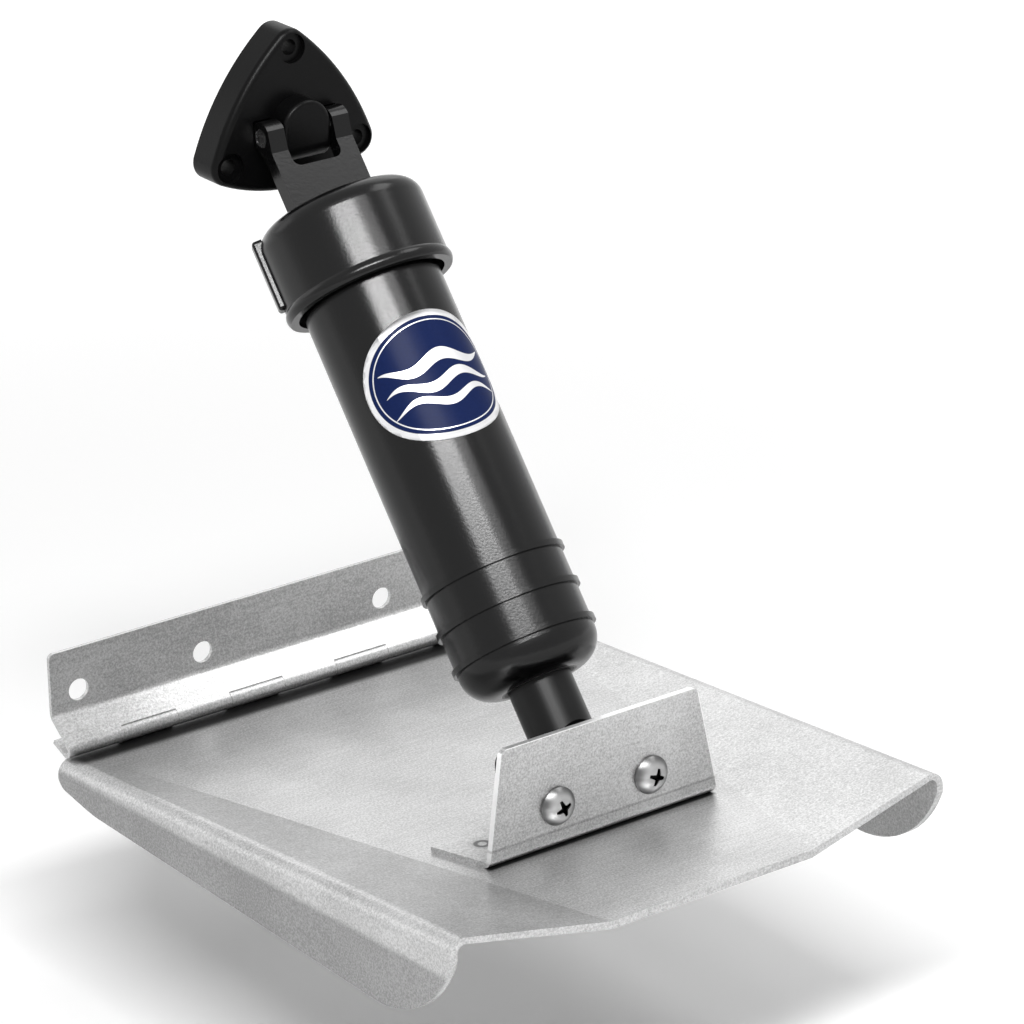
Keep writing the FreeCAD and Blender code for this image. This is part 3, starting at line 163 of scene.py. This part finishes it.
class Finish:
    """A node tree that is being written, with one method for any node."""

    def __init__(self, owner):
        owner.use_nodes = True
        self.owner = owner
        self.tree = owner.node_tree
        self.tree.nodes.clear()

    def node(self, kind, settings=None, inputs=(), output=0):
        made = self.tree.nodes.new(kind)
        for name, value in (settings or {}).items():
            setattr(made, name, value)
        pairs = inputs.items() if isinstance(inputs, dict) else enumerate(inputs)
        for key, value in pairs:
            if isinstance(value, Term):
                self.tree.links.new(value.socket, made.inputs[key])
            else:
                made.inputs[key].default_value = value
        return Term(self, made.outputs[output]) if made.outputs else None

    def place(self, centre, turn=LEVEL):
        """Object coordinates, seen from a centre and a turned frame."""
        objects = self.node("ShaderNodeTexCoord", {}, (), "Object")
        inputs = {"Vector": objects, "Location": centre, "Rotation": turn}
        return self.node("ShaderNodeMapping", {"vector_type": "TEXTURE"}, inputs)

    def stretch(self, vector, scale):
        return self.node("ShaderNodeVectorMath", {"operation": "MULTIPLY"}, (vector, scale))

    def noise(self, vector, scale=1.0, detail=2.0, roughness=0.5):
        inputs = {"Vector": vector, "Scale": scale, "Detail": detail, "Roughness": roughness}
        return self.node("ShaderNodeTexNoise", {}, inputs)

    def blend(self, amount, first, second):
        settings = {"data_type": "RGBA", "clamp_factor": True}
        return self.node("ShaderNodeMix", settings, {0: amount, 6: first, 7: second}, 2)

    def vary(self, amount, colour, dark, light):
        """A colour that goes from dark times to light times its own value."""
        return self.blend(amount, shade(colour, dark), shade(colour, light))

    def bump(self, height, depth, strength):
        inputs = {"Height": height, "Distance": depth, "Strength": strength}
        return self.node("ShaderNodeBump", {}, inputs)

    def seen_directly(self):
        """1 for rays from the camera and for those that gloss or glass sends on, else 0."""
        path = self.node("ShaderNodeLightPath").socket.node.outputs
        camera, glossy, through = (
            Term(self, path[name])
            for name in ("Is Camera Ray", "Is Glossy Ray", "Is Transmission Ray")
        )
        return (camera + glossy + through).least(1.0)

    def surface(self, base, rough, normal, metallic=0.0, gloss=0.5):
        """Ends the tree with one shader, whose specular level is gloss."""
        inputs = {
            "Base Color": base,
            "Roughness": rough,
            "Normal": normal,
            "Metallic": metallic,
            "Specular IOR Level": gloss,
        }
        shader = self.node("ShaderNodeBsdfPrincipled", {}, inputs)
        self.node("ShaderNodeOutputMaterial", {}, {"Surface": shader})
        return self.owner


def new_finish(name):
    return Finish(bpy.data.materials.new(name))


def opaque(colour):
    return (*colour, 1.0)


def shade(colour, amount):
    return opaque([channel * amount for channel in colour])


# Finishes

def sheet_steel(name, colour, turn, details=None):
    """Stainless sheet with a strong frosted grain, clouds and faint rolling streaks."""
    finish = new_finish(name)
    place = finish.place(HINGE_PIN, turn)
    grain = finish.noise(place, scale=1350.0, detail=3.0, roughness=0.75)
    cloud = finish.noise(place, scale=22.0, detail=5.0, roughness=0.6)
    streak = finish.noise(finish.stretch(place, (60.0, 900.0, 900.0)))
    tone = grain * 0.66 + cloud * 0.24 + streak * 0.1
    base = finish.vary(tone.fade(0.35, 0.65), colour, dark=0.68, light=1.27)
    rough = 0.25 + cloud * 0.12 + grain * 0.12
    if details:
        base = details(finish, base, *place.parts())
    normal = finish.bump(grain + streak * 0.3, depth=0.00007, strength=0.6)
    return finish.surface(base, rough, normal, metallic=0.92)


# Marks on the plane, in metres from the hinge pin in the plane's own frame. Here and below, a pair
# is a soft step, from the place where a mark fades out to the place where it is full.
PLANE_HALF_WIDTH = 0.1
# The fins are painted darker as shade, and the corner and the wedge carry a painted shadow.
FIN_SIDE = (0.0985, 0.1005)
FIN_TOP = (-0.0055, -0.0085)
CORNER_SLOPE = 0.014
CORNER_FRONT = (-0.0105, -0.0058)
CORNER_DEPTH = (-0.0075, -0.0066)
CORNER_SIDE = (0.1, 0.096)
WEDGE_BACK = -0.1722
WEDGE_REACH = (0.0024, 0.0008)
WEDGE_SIDE = (0.0475, 0.0455)


def plane_details(finish, base, x, y, z):
    """Painted shade: darker fins, and a painted shadow in the corner along the hinge and under the
    bracket's bend.
    """
    side = abs(x)
    # The fins are painted darker, as shade.
    fin_shade = side.fade(*FIN_SIDE) * z.fade(*FIN_TOP)
    base = finish.blend(fin_shade * 0.42, base, NEAR_BLACK)
    # A painted shadow along the hinge and under the bracket's bend.
    front = y + (x + PLANE_HALF_WIDTH) * CORNER_SLOPE
    corner = front.fade(*CORNER_FRONT) * z.fade(*CORNER_DEPTH) * side.fade(*CORNER_SIDE)
    wedge = abs(y - WEDGE_BACK).fade(*WEDGE_REACH) * side.fade(*WEDGE_SIDE)
    return finish.blend(corner.most(wedge) * 0.92, base, NEAR_BLACK)


# Marks on the bracket, in the same frame. The upright narrows by its taper from the foot up.
BRACKET_HALF_WIDTH = 0.0464
BRACKET_FOOT = 0.0006
BRACKET_TAPER = 0.178
BRACKET_BACK = (-0.169, -0.1705)
SHEARED_SIDE = (-0.0005, -0.0002)
SHEARED_TOP = (0.0361, 0.0364)
BEND_HEIGHT = 0.0028
BEND_LINE = (0.0007, 0.0001)
BEND_FOOT = (0.003, 0.0024)
BEND_BACK = (-0.168, -0.169)
WELDS_ACROSS = (-0.038, 0.0, 0.038)
WELDS_BACK = -0.158
WELD_RADIUS = 0.0026

# The marks round a weld, in weld radii.
WELD_INSIDE = (0.45, 0.7)
WELD_OUTSIDE = (1.3, 1.0)
WELD_HALO = (2.4, 0.9)


def bracket_details(finish, base, x, y, z):
    """Painted highlight on the sheared edges, painted shade at the bend and foot, and spot weld
    rings.
    """
    edge = BRACKET_HALF_WIDTH - (z - BRACKET_FOOT) * BRACKET_TAPER
    # The sheared sides and top edge are painted pale, as a highlight.
    sheared = (abs(x) - edge).fade(*SHEARED_SIDE) * y.fade(*BRACKET_BACK)
    base = finish.blend(sheared.most(z.fade(*SHEARED_TOP)) * 0.85, base, EDGE_HIGHLIGHT)
    # Painted shade: a dark line along the bend, and darker towards the foot.
    bend = abs(z - BEND_HEIGHT).fade(*BEND_LINE) * 0.3 + z.fade(*BEND_FOOT) * 0.12
    base = finish.blend(bend * y.fade(*BEND_BACK), base, NEAR_BLACK)
    for weld in WELDS_ACROSS:
        away = ((x - weld) ** 2.0 + (y - WELDS_BACK) ** 2.0) ** 0.5 / WELD_RADIUS
        ring = away.fade(*WELD_INSIDE) * away.fade(*WELD_OUTSIDE)
        burn = ring * 0.75 + away.fade(*WELD_HALO) * 0.2
        base = finish.blend(burn, base, WELD_BURN)
    return base


# Marks on the bracket's screws, in the same frame. The recess and rim count from a screw's axis.
SCREW_ACROSS = 0.01905
SCREW_HEIGHT = 0.01145
RECESS_REACH = (0.0033, 0.0031)
RECESS_BACK = (-0.178, -0.1776)
RIM_REACH = (0.0036, 0.0062)


def screw_details(finish, base, x, y, z):
    """Painted shade: dark recesses, and each head darker towards its rim."""
    up = z - SCREW_HEIGHT
    away = ((abs(x) - SCREW_ACROSS) ** 2.0 + up * up) ** 0.5
    # The recess and the head's rim are painted dark, as shade.
    recess = away.fade(*RECESS_REACH) * y.fade(*RECESS_BACK)
    return finish.blend(recess.most(away.fade(*RIM_REACH) * 0.72), base, NEAR_BLACK)


def turned_steel(name, colour, roughness, details=None, centre=(0, 0, 0), turn=LEVEL):
    """Bright rod or screw steel with faint turning lines."""
    finish = new_finish(name)
    place = finish.place(centre, turn)
    lines = finish.noise(finish.stretch(place, (3000.0, 200.0, 200.0)), detail=1.0)
    smear = finish.noise(place, scale=220.0, detail=3.0)
    base = finish.vary(smear, colour, dark=0.86, light=1.08)
    rough = roughness * (0.8 + smear * 0.5)
    if details:
        base = details(finish, base, *place.parts())
    normal = finish.bump(lines, depth=0.00002, strength=0.4)
    return finish.surface(base, rough, normal, metallic=1.0)


def black_moulding(name, colour, gloss, roughness, turn):
    """Glass filled nylon: deep black, satin, with a slight mottle from the mould."""
    finish = new_finish(name)
    place = finish.place(UPPER_PIN, turn)
    mottle = finish.noise(place, scale=1300.0, detail=3.0, roughness=0.65)
    cloud = finish.noise(place, scale=45.0, detail=3.0)
    flow = finish.noise(finish.stretch(place, (260.0, 260.0, 26.0)))
    speck = finish.noise(place, scale=2300.0, detail=1.0).fade(0.68, 0.78)
    base = finish.vary(cloud * 0.6 + mottle * 0.4, colour, dark=0.6, light=1.5)
    base = finish.blend(speck * 0.5, base, shade(colour, 5.0))
    rough = roughness * (0.6 + mottle * 0.5 + flow * 0.3)
    normal = finish.bump(mottle, depth=0.00006, strength=0.6)
    return finish.surface(base, rough, normal, gloss=gloss)


def smooth_rod(name, colour):
    """Turned acetal rod, glossy, with fine lengthwise rub marks."""
    finish = new_finish(name)
    place = finish.place(UPPER_PIN, ALONG_RAM)
    rubs = finish.noise(finish.stretch(place, (2200.0, 2200.0, 40.0)))
    cloud = finish.noise(place, scale=60.0, detail=3.0)
    base = finish.vary(cloud, colour, dark=0.7, light=1.4)
    rough = 0.24 + rubs * 0.08 + cloud * 0.08
    normal = finish.bump(rubs, depth=0.00002, strength=0.5)
    return finish.surface(base, rough, normal, gloss=ROD_GLOSS)


def plain_polymer(name, colour, roughness, grain, details=None):
    """Rubber or natural acetal, with a fine speckle."""
    finish = new_finish(name)
    place = finish.place(UPPER_PIN, ALONG_RAM)
    speckle = finish.noise(place, scale=grain, detail=3.0)
    base = finish.vary(speckle, colour, dark=0.8, light=1.15)
    rough = roughness * (0.85 + speckle * 0.3)
    if details:
        base = details(finish, base, *place.parts())
    normal = finish.bump(speckle, depth=0.00003, strength=0.5)
    return finish.surface(base, rough, normal)


# The rim of the guide, in metres along the ram from the upper pin.
GUIDE_RIM = (-0.2030, -0.2040)


def guide_details(finish, base, x, y, z):
    """Near black on the guide's rim, where the ram leaves the barrel."""
    return finish.blend(z.fade(*GUIDE_RIM) * 0.97, base, NEAR_BLACK)


# The print on the label, on a scale where the ground's edge is 1 from the middle. A wave has a
# height and a thickness.
BORDER_STEP = (0.995, 1.005)
INNER_LINE = 0.93
INNER_LINE_STEP = (0.012, 0.006)
WAVES = ((0.24, 0.11), (-0.1, 0.09), (-0.4, 0.07))
WAVE_RISE = 0.085
WAVE_PITCH = 7.0
WAVE_SHIFT = 4.0
WAVE_TAPER = 1.5
WAVE_STEP = (0.004, -0.004)
WAVE_TIP = (0.02, 0.06)


def printed_label(name, sizes, colours):
    """Blue foil print with a silver border and three silver waves."""
    finish = new_finish(name)
    flat = finish.node("ShaderNodeUVMap", {"uv_map": "flat"})
    u, v, _ = flat.parts()
    across = u / (sizes.label_width / 2 - sizes.label_border)
    along = v / (sizes.label_height / 2 - sizes.label_border)
    round_out = (across * across + along * along) ** 0.5
    silver = abs(round_out - INNER_LINE).fade(*INNER_LINE_STEP)
    taper = (1.0 - across * across * WAVE_TAPER).most(0.0)
    for height, thickness in WAVES:
        crest = (across * WAVE_PITCH + height * WAVE_SHIFT).sine() * WAVE_RISE
        gap = abs(along - height - crest) - taper * thickness
        silver = silver.most(gap.fade(*WAVE_STEP) * taper.fade(*WAVE_TIP))
    silver = silver.most(round_out.fade(*BORDER_STEP))
    sheen = finish.noise(finish.stretch(flat, (90.0, 25.0, 1.0)))
    ink = finish.noise(finish.stretch(flat, (900.0, 900.0, 1.0)))
    blue = finish.vary(ink, colours.label_blue, dark=0.85, light=1.15)
    metal = finish.vary(sheen, colours.label_silver, dark=0.82, light=1.1)
    base = finish.blend(silver, blue, metal)
    rough = 0.3 + silver * 0.04 + ink * 0.05
    normal = finish.bump(ink + silver * 2.0, depth=0.00001, strength=0.5)
    return finish.surface(base, rough, normal, metallic=silver * 0.9, gloss=LABEL_GLOSS)


def dress(names, material):
    """Gives CAD nodes one material."""
    for name in names:
        slots = frame["nodes"][name].data.materials
        slots.clear()
        slots.append(material)


# Shaping

# How far apart two points of a copied CAD mesh may lie and still be merged, in metres.
MERGE_REACH = 0.000001

# Faces of the flat sheet that becomes the label, round the barrel and along it.
LABEL_COLUMNS = 72
LABEL_ROWS = 12

# The gap between the barrel and the foil, in thicknesses of the foil.
LABEL_GAP = 1.5


def ram_frame(turn):
    """From a frame with its origin on the upper pin and +Z up the ram, to the row frame."""
    turned = Matrix.Rotation(-RAM_LEAN, 4, "X") @ Matrix.Rotation(turn, 4, "Z")
    return Matrix.Translation(UPPER_PIN) @ turned


def new_piece(name, shape, material, body):
    """Makes a smooth shaded object of a closed shape in the row frame, on a CAD body."""
    bmesh.ops.recalc_face_normals(shape, faces=shape.faces)
    data = bpy.data.meshes.new(name)
    shape.to_mesh(data)
    shape.free()
    data.materials.append(material)
    for face in data.polygons:
        face.use_smooth = True
    piece = bpy.data.objects.new(name, data)
    bpy.context.scene.collection.objects.link(piece)
    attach(piece, body)
    return piece


def trim_to_oval(shape, half_width, half_height, sides):
    """Cuts a flat sheet with one straight cut for each side of a fine polygon."""
    for side in range(sides):
        turn = 2 * math.pi * side / sides
        rim = Vector((half_width * math.cos(turn), half_height * math.sin(turn), 0))
        outward = Vector((math.cos(turn) / half_width, math.sin(turn) / half_height, 0))
        everything = shape.verts[:] + shape.edges[:] + shape.faces[:]
        bmesh.ops.bisect_plane(
            shape, geom=everything, plane_co=rim, plane_no=outward, clear_outer=True
        )


def keep_flat_places(shape):
    """Writes each point's place on the flat sheet as its UV, in metres."""
    flat = shape.loops.layers.uv.new("flat")
    for face in shape.faces:
        for corner in face.loops:
            corner[flat].uv = corner.vert.co.xy


def roll_up(shape, radius):
    """Bends a flat sheet in X and Y round the Z axis, with its middle towards -Y."""
    for vertex in shape.verts:
        around, along, out = vertex.co
        turned = Matrix.Rotation(around / radius, 3, "Z")
        vertex.co = turned @ Vector((0, -radius - out, along))


# What a user may change

def length(name, description, default):
    return FloatProperty(
        name=name, description=description, default=default, unit="LENGTH", precision=5
    )


def angle(name, description, degrees):
    return FloatProperty(
        name=name, description=description, default=math.radians(degrees), subtype="ANGLE"
    )


def power(name, description, watts):
    return FloatProperty(name=name, description=description, default=watts, unit="POWER")


def colour(name, description, default):
    return FloatVectorProperty(
        name=name, description=description, default=default, subtype="COLOR", min=0, max=1
    )


class TrimTabSizes(bpy.types.PropertyGroup):
    """Sizes of the label, which only the scene has."""

    label_width: length("Label width", "Width of the label, measured round the barrel", 0.056)
    label_height: length("Label height", "Height of the label along the barrel", 0.045)
    label_border: length("Label border", "Width of the label's silver border", 0.0022)
    label_thickness: length("Label thickness", "Thickness of the foil", 0.00012)
    label_down: length("Label place", "From the upper pin down to the label's middle", 0.101)
    label_turn: angle("Label turn", "Turn of the label from straight aft", -7.0)
    barrel_radius: length("Barrel radius", "Outer radius of the barrel under the label", 0.02435)
    label_cuts: IntProperty(
        name="Label cuts", description="Straight cuts that round the label's edge", default=96
    )


class TrimTabColours(bpy.types.PropertyGroup):
    """Colours of the finishes."""

    sheet: colour("Sheet steel", "Frosted stainless sheet", (0.5, 0.5, 0.5))
    bright: colour("Bright steel", "Pins and the piston's screw", (0.72, 0.72, 0.72))
    screw: colour("Screw steel", "Bracket's screws", (0.42, 0.42, 0.42))
    spring: colour("Spring steel", "Drawn stainless wire", (0.42, 0.42, 0.43))
    moulding: colour("Black moulding", "Cap, barrel, base and lower hinge", (0.002, 0.002, 0.0021))
    rod: colour("Ram", "Black acetal rod", (0.003, 0.003, 0.0031))
    guide: colour("Guides", "Natural acetal", (0.72, 0.7, 0.65))
    rubber: colour("Rubber", "Seals", (0.015, 0.015, 0.015))
    label_blue: colour("Label blue", "Ground of the label", (0.007, 0.015, 0.066))
    label_silver: colour("Label silver", "Border and waves of the label", (0.78, 0.78, 0.79))
    floor: colour("Floor", "Studio floor", (0.92, 0.92, 0.92))


class TrimTabStudio(bpy.types.PropertyGroup):
    """Floor, camera and lights."""

    azimuth: angle("Azimuth", "Camera's place round the part", -36.0126)
    elevation: angle("Elevation", "Camera's height as an angle", 22.4343)
    roll: angle("Roll", "Camera's turn about its own axis", -0.9482)
    distance: length("Distance", "From the camera to its target", 1.65121)
    target: FloatVectorProperty(
        name="Target",
        description="Point in the middle of the picture",
        default=(0.00898, -0.121803, 0.079664),
        subtype="TRANSLATION",
        unit="LENGTH",
    )
    lens: FloatProperty(
        name="Lens", description="Focal length on a 36 mm sensor", default=175.78, unit="CAMERA"
    )
    floor_drop: length(
        "Floor drop", "From the part at rest down to the floor, clear of the plane's swing", 0.08
    )
    ambient: FloatProperty(name="Ambient", description="Strength of the room's light", default=0.12)
    key: power("Key", "Power of the key lamp", 40.0)
    front: power("Front", "Power of the front lamp", 7.0)
    fill: power("Fill", "Power of the fill lamp", 9.0)
    side: power("Side", "Power of the side lamp", 1.5)
    back: power("Back", "Power of the back lamp", 5.5)


# Pieces

class FinishSteel(bpy.types.Operator):
    """Finish the sheets, pins, screws and spring"""

    bl_idname = "trim_tab.finish_steel"
    bl_label = "Finish Steel"

    def execute(self, context):
        colours = context.scene.trim_tab_colours
        plane = sheet_steel("plane_sheet", colours.sheet, ALONG_PLANE, plane_details)
        bracket = sheet_steel("bracket_sheet", colours.sheet, ALONG_PLANE, bracket_details)
        screws = turned_steel(
            "screw_steel", colours.screw, 0.3, screw_details, HINGE_PIN, ALONG_PLANE
        )
        dress(("trim_plane",), plane)
        dress(("ram_bracket",), bracket)
        dress(("bracket_screws",), screws)
        dress(LEAF_NODES, sheet_steel("leaf_sheet", colours.sheet, LEVEL))
        dress(PIN_NODES, turned_steel("pin_steel", colours.bright, 0.25))
        dress(("return_spring",), turned_steel("spring_wire", colours.spring, 0.3))
        return {"FINISHED"}


class FinishMouldings(bpy.types.Operator):
    """Finish the base, lower hinge, cap, barrel and ram"""

    bl_idname = "trim_tab.finish_mouldings"
    bl_label = "Finish Mouldings"

    def execute(self, context):
        colours = context.scene.trim_tab_colours
        black = colours.moulding
        base = black_moulding("base_moulding", black, BASE_GLOSS, 0.32, LEVEL)
        cylinder = black_moulding("cylinder_moulding", black, CYLINDER_GLOSS, 0.2, ALONG_RAM)
        dress(BASE_NODES, base)
        dress(CYLINDER_NODES, cylinder)
        dress(("ram",), smooth_rod("ram_rod", colours.rod))
        return {"FINISHED"}


class FinishInside(bpy.types.Operator):
    """Finish the seals, guides and piston"""

    bl_idname = "trim_tab.finish_inside"
    bl_label = "Finish Inside"

    def execute(self, context):
        colours = context.scene.trim_tab_colours
        dress(SEAL_NODES, plain_polymer("seal_rubber", colours.rubber, 0.55, 1400.0))
        dress(GUIDE_NODES, plain_polymer("guide_acetal", colours.guide, 0.4, 800.0, guide_details))
        return {"FINISHED"}


class MakeLabel(bpy.types.Operator):
    """Make the oval foil label on the barrel"""

    bl_idname = "trim_tab.make_label"
    bl_label = "Make Label"

    def execute(self, context):
        sizes = context.scene.trim_tab_sizes
        half_width = sizes.label_width / 2
        half_height = sizes.label_height / 2
        shape = bmesh.new()
        bmesh.ops.create_grid(shape, x_segments=LABEL_COLUMNS, y_segments=LABEL_ROWS, size=1.0)
        bmesh.ops.scale(shape, vec=(half_width, half_height, 1), verts=shape.verts)
        trim_to_oval(shape, half_width, half_height, sizes.label_cuts)
        keep_flat_places(shape)
        roll_up(shape, sizes.barrel_radius + sizes.label_thickness * LABEL_GAP)
        bmesh.ops.recalc_face_normals(shape, faces=shape.faces)
        bmesh.ops.solidify(shape, geom=shape.faces[:], thickness=sizes.label_thickness)
        down = Matrix.Translation((0, 0, -sizes.label_down))
        bmesh.ops.transform(
            shape, matrix=ram_frame(sizes.label_turn) @ down, verts=shape.verts
        )
        material = printed_label("label_foil", sizes, context.scene.trim_tab_colours)
        new_piece("barrel_label", shape, material, "cylinder")
        return {"FINISHED"}


class MakeSpring(bpy.types.Operator):
    """Make the return spring as a copy of the CAD coil, which it replaces"""

    bl_idname = "trim_tab.make_spring"
    bl_label = "Make Spring"

    def execute(self, context):
        coil = frame["nodes"]["return_spring"]
        shape = bmesh.new()
        shape.from_mesh(coil.data)
        bmesh.ops.remove_doubles(shape, verts=shape.verts, dist=MERGE_REACH)
        bmesh.ops.transform(shape, matrix=coil.matrix_world, verts=shape.verts)
        material = coil.data.materials[0]
        spring = new_piece("coil_spring", shape, material, "cylinder")
        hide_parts("return_spring")
        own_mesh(spring)
        return {"FINISHED"}


# Studio

FLOOR_HALF_WIDTH = 6.0

# The floor's own glow, near the part and far from it, and how far out in metres it turns from one
# to the other. Far out it is white.
GLOW_NEAR = 0.12
GLOW_FAR = 0.92
GLOW_REACH = (0.4, 1.8)

# Each lamp's azimuth, elevation and roll in degrees, and its width and height in metres.
LAMPS = {
    "key": ((-37.0, 50.0, 24.0), (1.1, 0.25)),
    "front": ((-2.0, 54.0, 4.0), (0.8, 0.25)),
    "fill": ((74.0, 54.0, 0.0), (1.0, 0.7)),
    "side": ((-140.0, 15.0, 0.0), (0.8, 0.8)),
    "back": ((146.0, 38.0, 0.0), (1.4, 1.4)),
}
LAMP_DISTANCE = 2.0

SENSOR_WIDTH = 36.0
CLIP_END = 50.0


def aim(azimuth, elevation, roll, distance, target):
    """The place of a camera or lamp that looks at target from a direction."""
    turned = (
        Matrix.Rotation(azimuth, 4, "Z")
        @ Matrix.Rotation(math.pi / 2 - elevation, 4, "X")
        @ Matrix.Rotation(roll, 4, "Z")
    )
    return Matrix.Translation(target) @ turned @ Matrix.Translation((0, 0, distance))


def white_paper(name, colour, centre):
    """Matt floor paper that looks white round a soft shadow."""
    finish = new_finish(name)
    inputs = {"Base Color": opaque(colour), "Roughness": 0.9, "Specular IOR Level": 0.1}
    paper = finish.node("ShaderNodeBsdfPrincipled", {}, inputs)
    x, y, _ = finish.place(centre).parts()
    far = ((x * x + y * y) ** 0.5).fade(*GLOW_REACH)
    strength = finish.seen_directly() * (far * (GLOW_FAR - GLOW_NEAR) + GLOW_NEAR)
    glow = finish.node("ShaderNodeEmission", {}, {"Color": WHITE, "Strength": strength})
    both = finish.node("ShaderNodeAddShader", {}, (paper, glow))
    finish.node("ShaderNodeOutputMaterial", {}, {"Surface": both})
    return finish.owner


class SetStudio(bpy.types.Operator):
    """Set the floor, backdrop, lamps and camera"""

    bl_idname = "trim_tab.set_studio"
    bl_label = "Set Studio"

    def execute(self, context):
        studio = context.scene.trim_tab_studio
        context.scene.view_settings.view_transform = "Standard"
        self.make_floor(context, studio)
        self.light_room(context, studio.ambient)
        for name, (degrees, size) in LAMPS.items():
            self.add_lamp(context, studio, name, degrees, size)
        self.add_camera(context, studio)
        return {"FINISHED"}

    def make_floor(self, context, studio):
        shape = bmesh.new()
        bmesh.ops.create_grid(shape, x_segments=1, y_segments=1, size=FLOOR_HALF_WIDTH)
        low = min(corner[2] for corner in CAD_BOX) - studio.floor_drop
        bmesh.ops.translate(shape, vec=(0, 0, low), verts=shape.verts)
        data = bpy.data.meshes.new("studio_floor")
        shape.to_mesh(data)
        shape.free()
        colours = context.scene.trim_tab_colours
        data.materials.append(white_paper("floor_paper", colours.floor, studio.target))
        floor = bpy.data.objects.new("studio_floor", data)
        context.scene.collection.objects.link(floor)

    def light_room(self, context, ambient):
        """White where it is seen, and a faint even light on the part."""
        world = bpy.data.worlds.new("studio_room")
        context.scene.world = world
        finish = Finish(world)
        strength = ambient + finish.seen_directly() * (1.0 - ambient)
        inputs = {"Color": WHITE, "Strength": strength}
        room = finish.node("ShaderNodeBackground", {}, inputs)
        finish.node("ShaderNodeOutputWorld", {}, {"Surface": room})

    def add_lamp(self, context, studio, name, degrees, size):
        """Adds a soft lamp, whose power is the studio's value of that name."""
        lamp = bpy.data.lights.new(f"{name}_lamp", "AREA")
        lamp.shape = "RECTANGLE"
        lamp.size, lamp.size_y = size
        lamp.energy = getattr(studio, name)
        holder = bpy.data.objects.new(f"{name}_lamp", lamp)
        context.scene.collection.objects.link(holder)
        azimuth, elevation, roll = (math.radians(part) for part in degrees)
        holder.matrix_world = aim(azimuth, elevation, roll, LAMP_DISTANCE, studio.target)

    def add_camera(self, context, studio):
        camera = bpy.data.cameras.new("studio_camera")
        camera.sensor_width = SENSOR_WIDTH
        camera.lens = studio.lens
        camera.clip_end = CLIP_END
        holder = bpy.data.objects.new("studio_camera", camera)
        context.scene.collection.objects.link(holder)
        holder.matrix_world = aim(
            studio.azimuth, studio.elevation, studio.roll, studio.distance, studio.target
        )
        context.scene.camera = holder


OPERATORS = (FinishSteel, FinishMouldings, FinishInside, MakeLabel, MakeSpring, SetStudio)
GROUPS = {
    "trim_tab_sizes": TrimTabSizes,
    "trim_tab_colours": TrimTabColours,
    "trim_tab_studio": TrimTabStudio,
}


class TrimTabPanel(bpy.types.Panel):
    """Sizes, colours and steps of the trim tab"""

    bl_idname = "VIEW3D_PT_trim_tab"
    bl_label = "Boat Trim Tab"
    bl_space_type = "VIEW_3D"
    bl_region_type = "UI"
    bl_category = "Trim Tab"

    def draw(self, context):
        for group in GROUPS:
            box = self.layout.box()
            values = getattr(context.scene, group)
            for name in values.__annotations__:
                box.prop(values, name)
        for operator in OPERATORS:
            self.layout.operator(operator.bl_idname)


def register():
    for group in (*GROUPS.values(), *OPERATORS, TrimTabPanel):
        bpy.utils.register_class(group)
    for name, group in GROUPS.items():
        setattr(bpy.types.Scene, name, PointerProperty(type=group))


def unregister():
    for name in GROUPS:
        delattr(bpy.types.Scene, name)
    for group in (TrimTabPanel, *reversed(OPERATORS), *reversed(GROUPS.values())):
        bpy.utils.unregister_class(group)


def main():
    register()
    bpy.ops.trim_tab.finish_steel()
    bpy.ops.trim_tab.finish_mouldings()
    bpy.ops.trim_tab.finish_inside()
    bpy.ops.trim_tab.make_label()
    bpy.ops.trim_tab.make_spring()
    bpy.ops.trim_tab.set_studio()


if __name__ == "__main__":
    main()
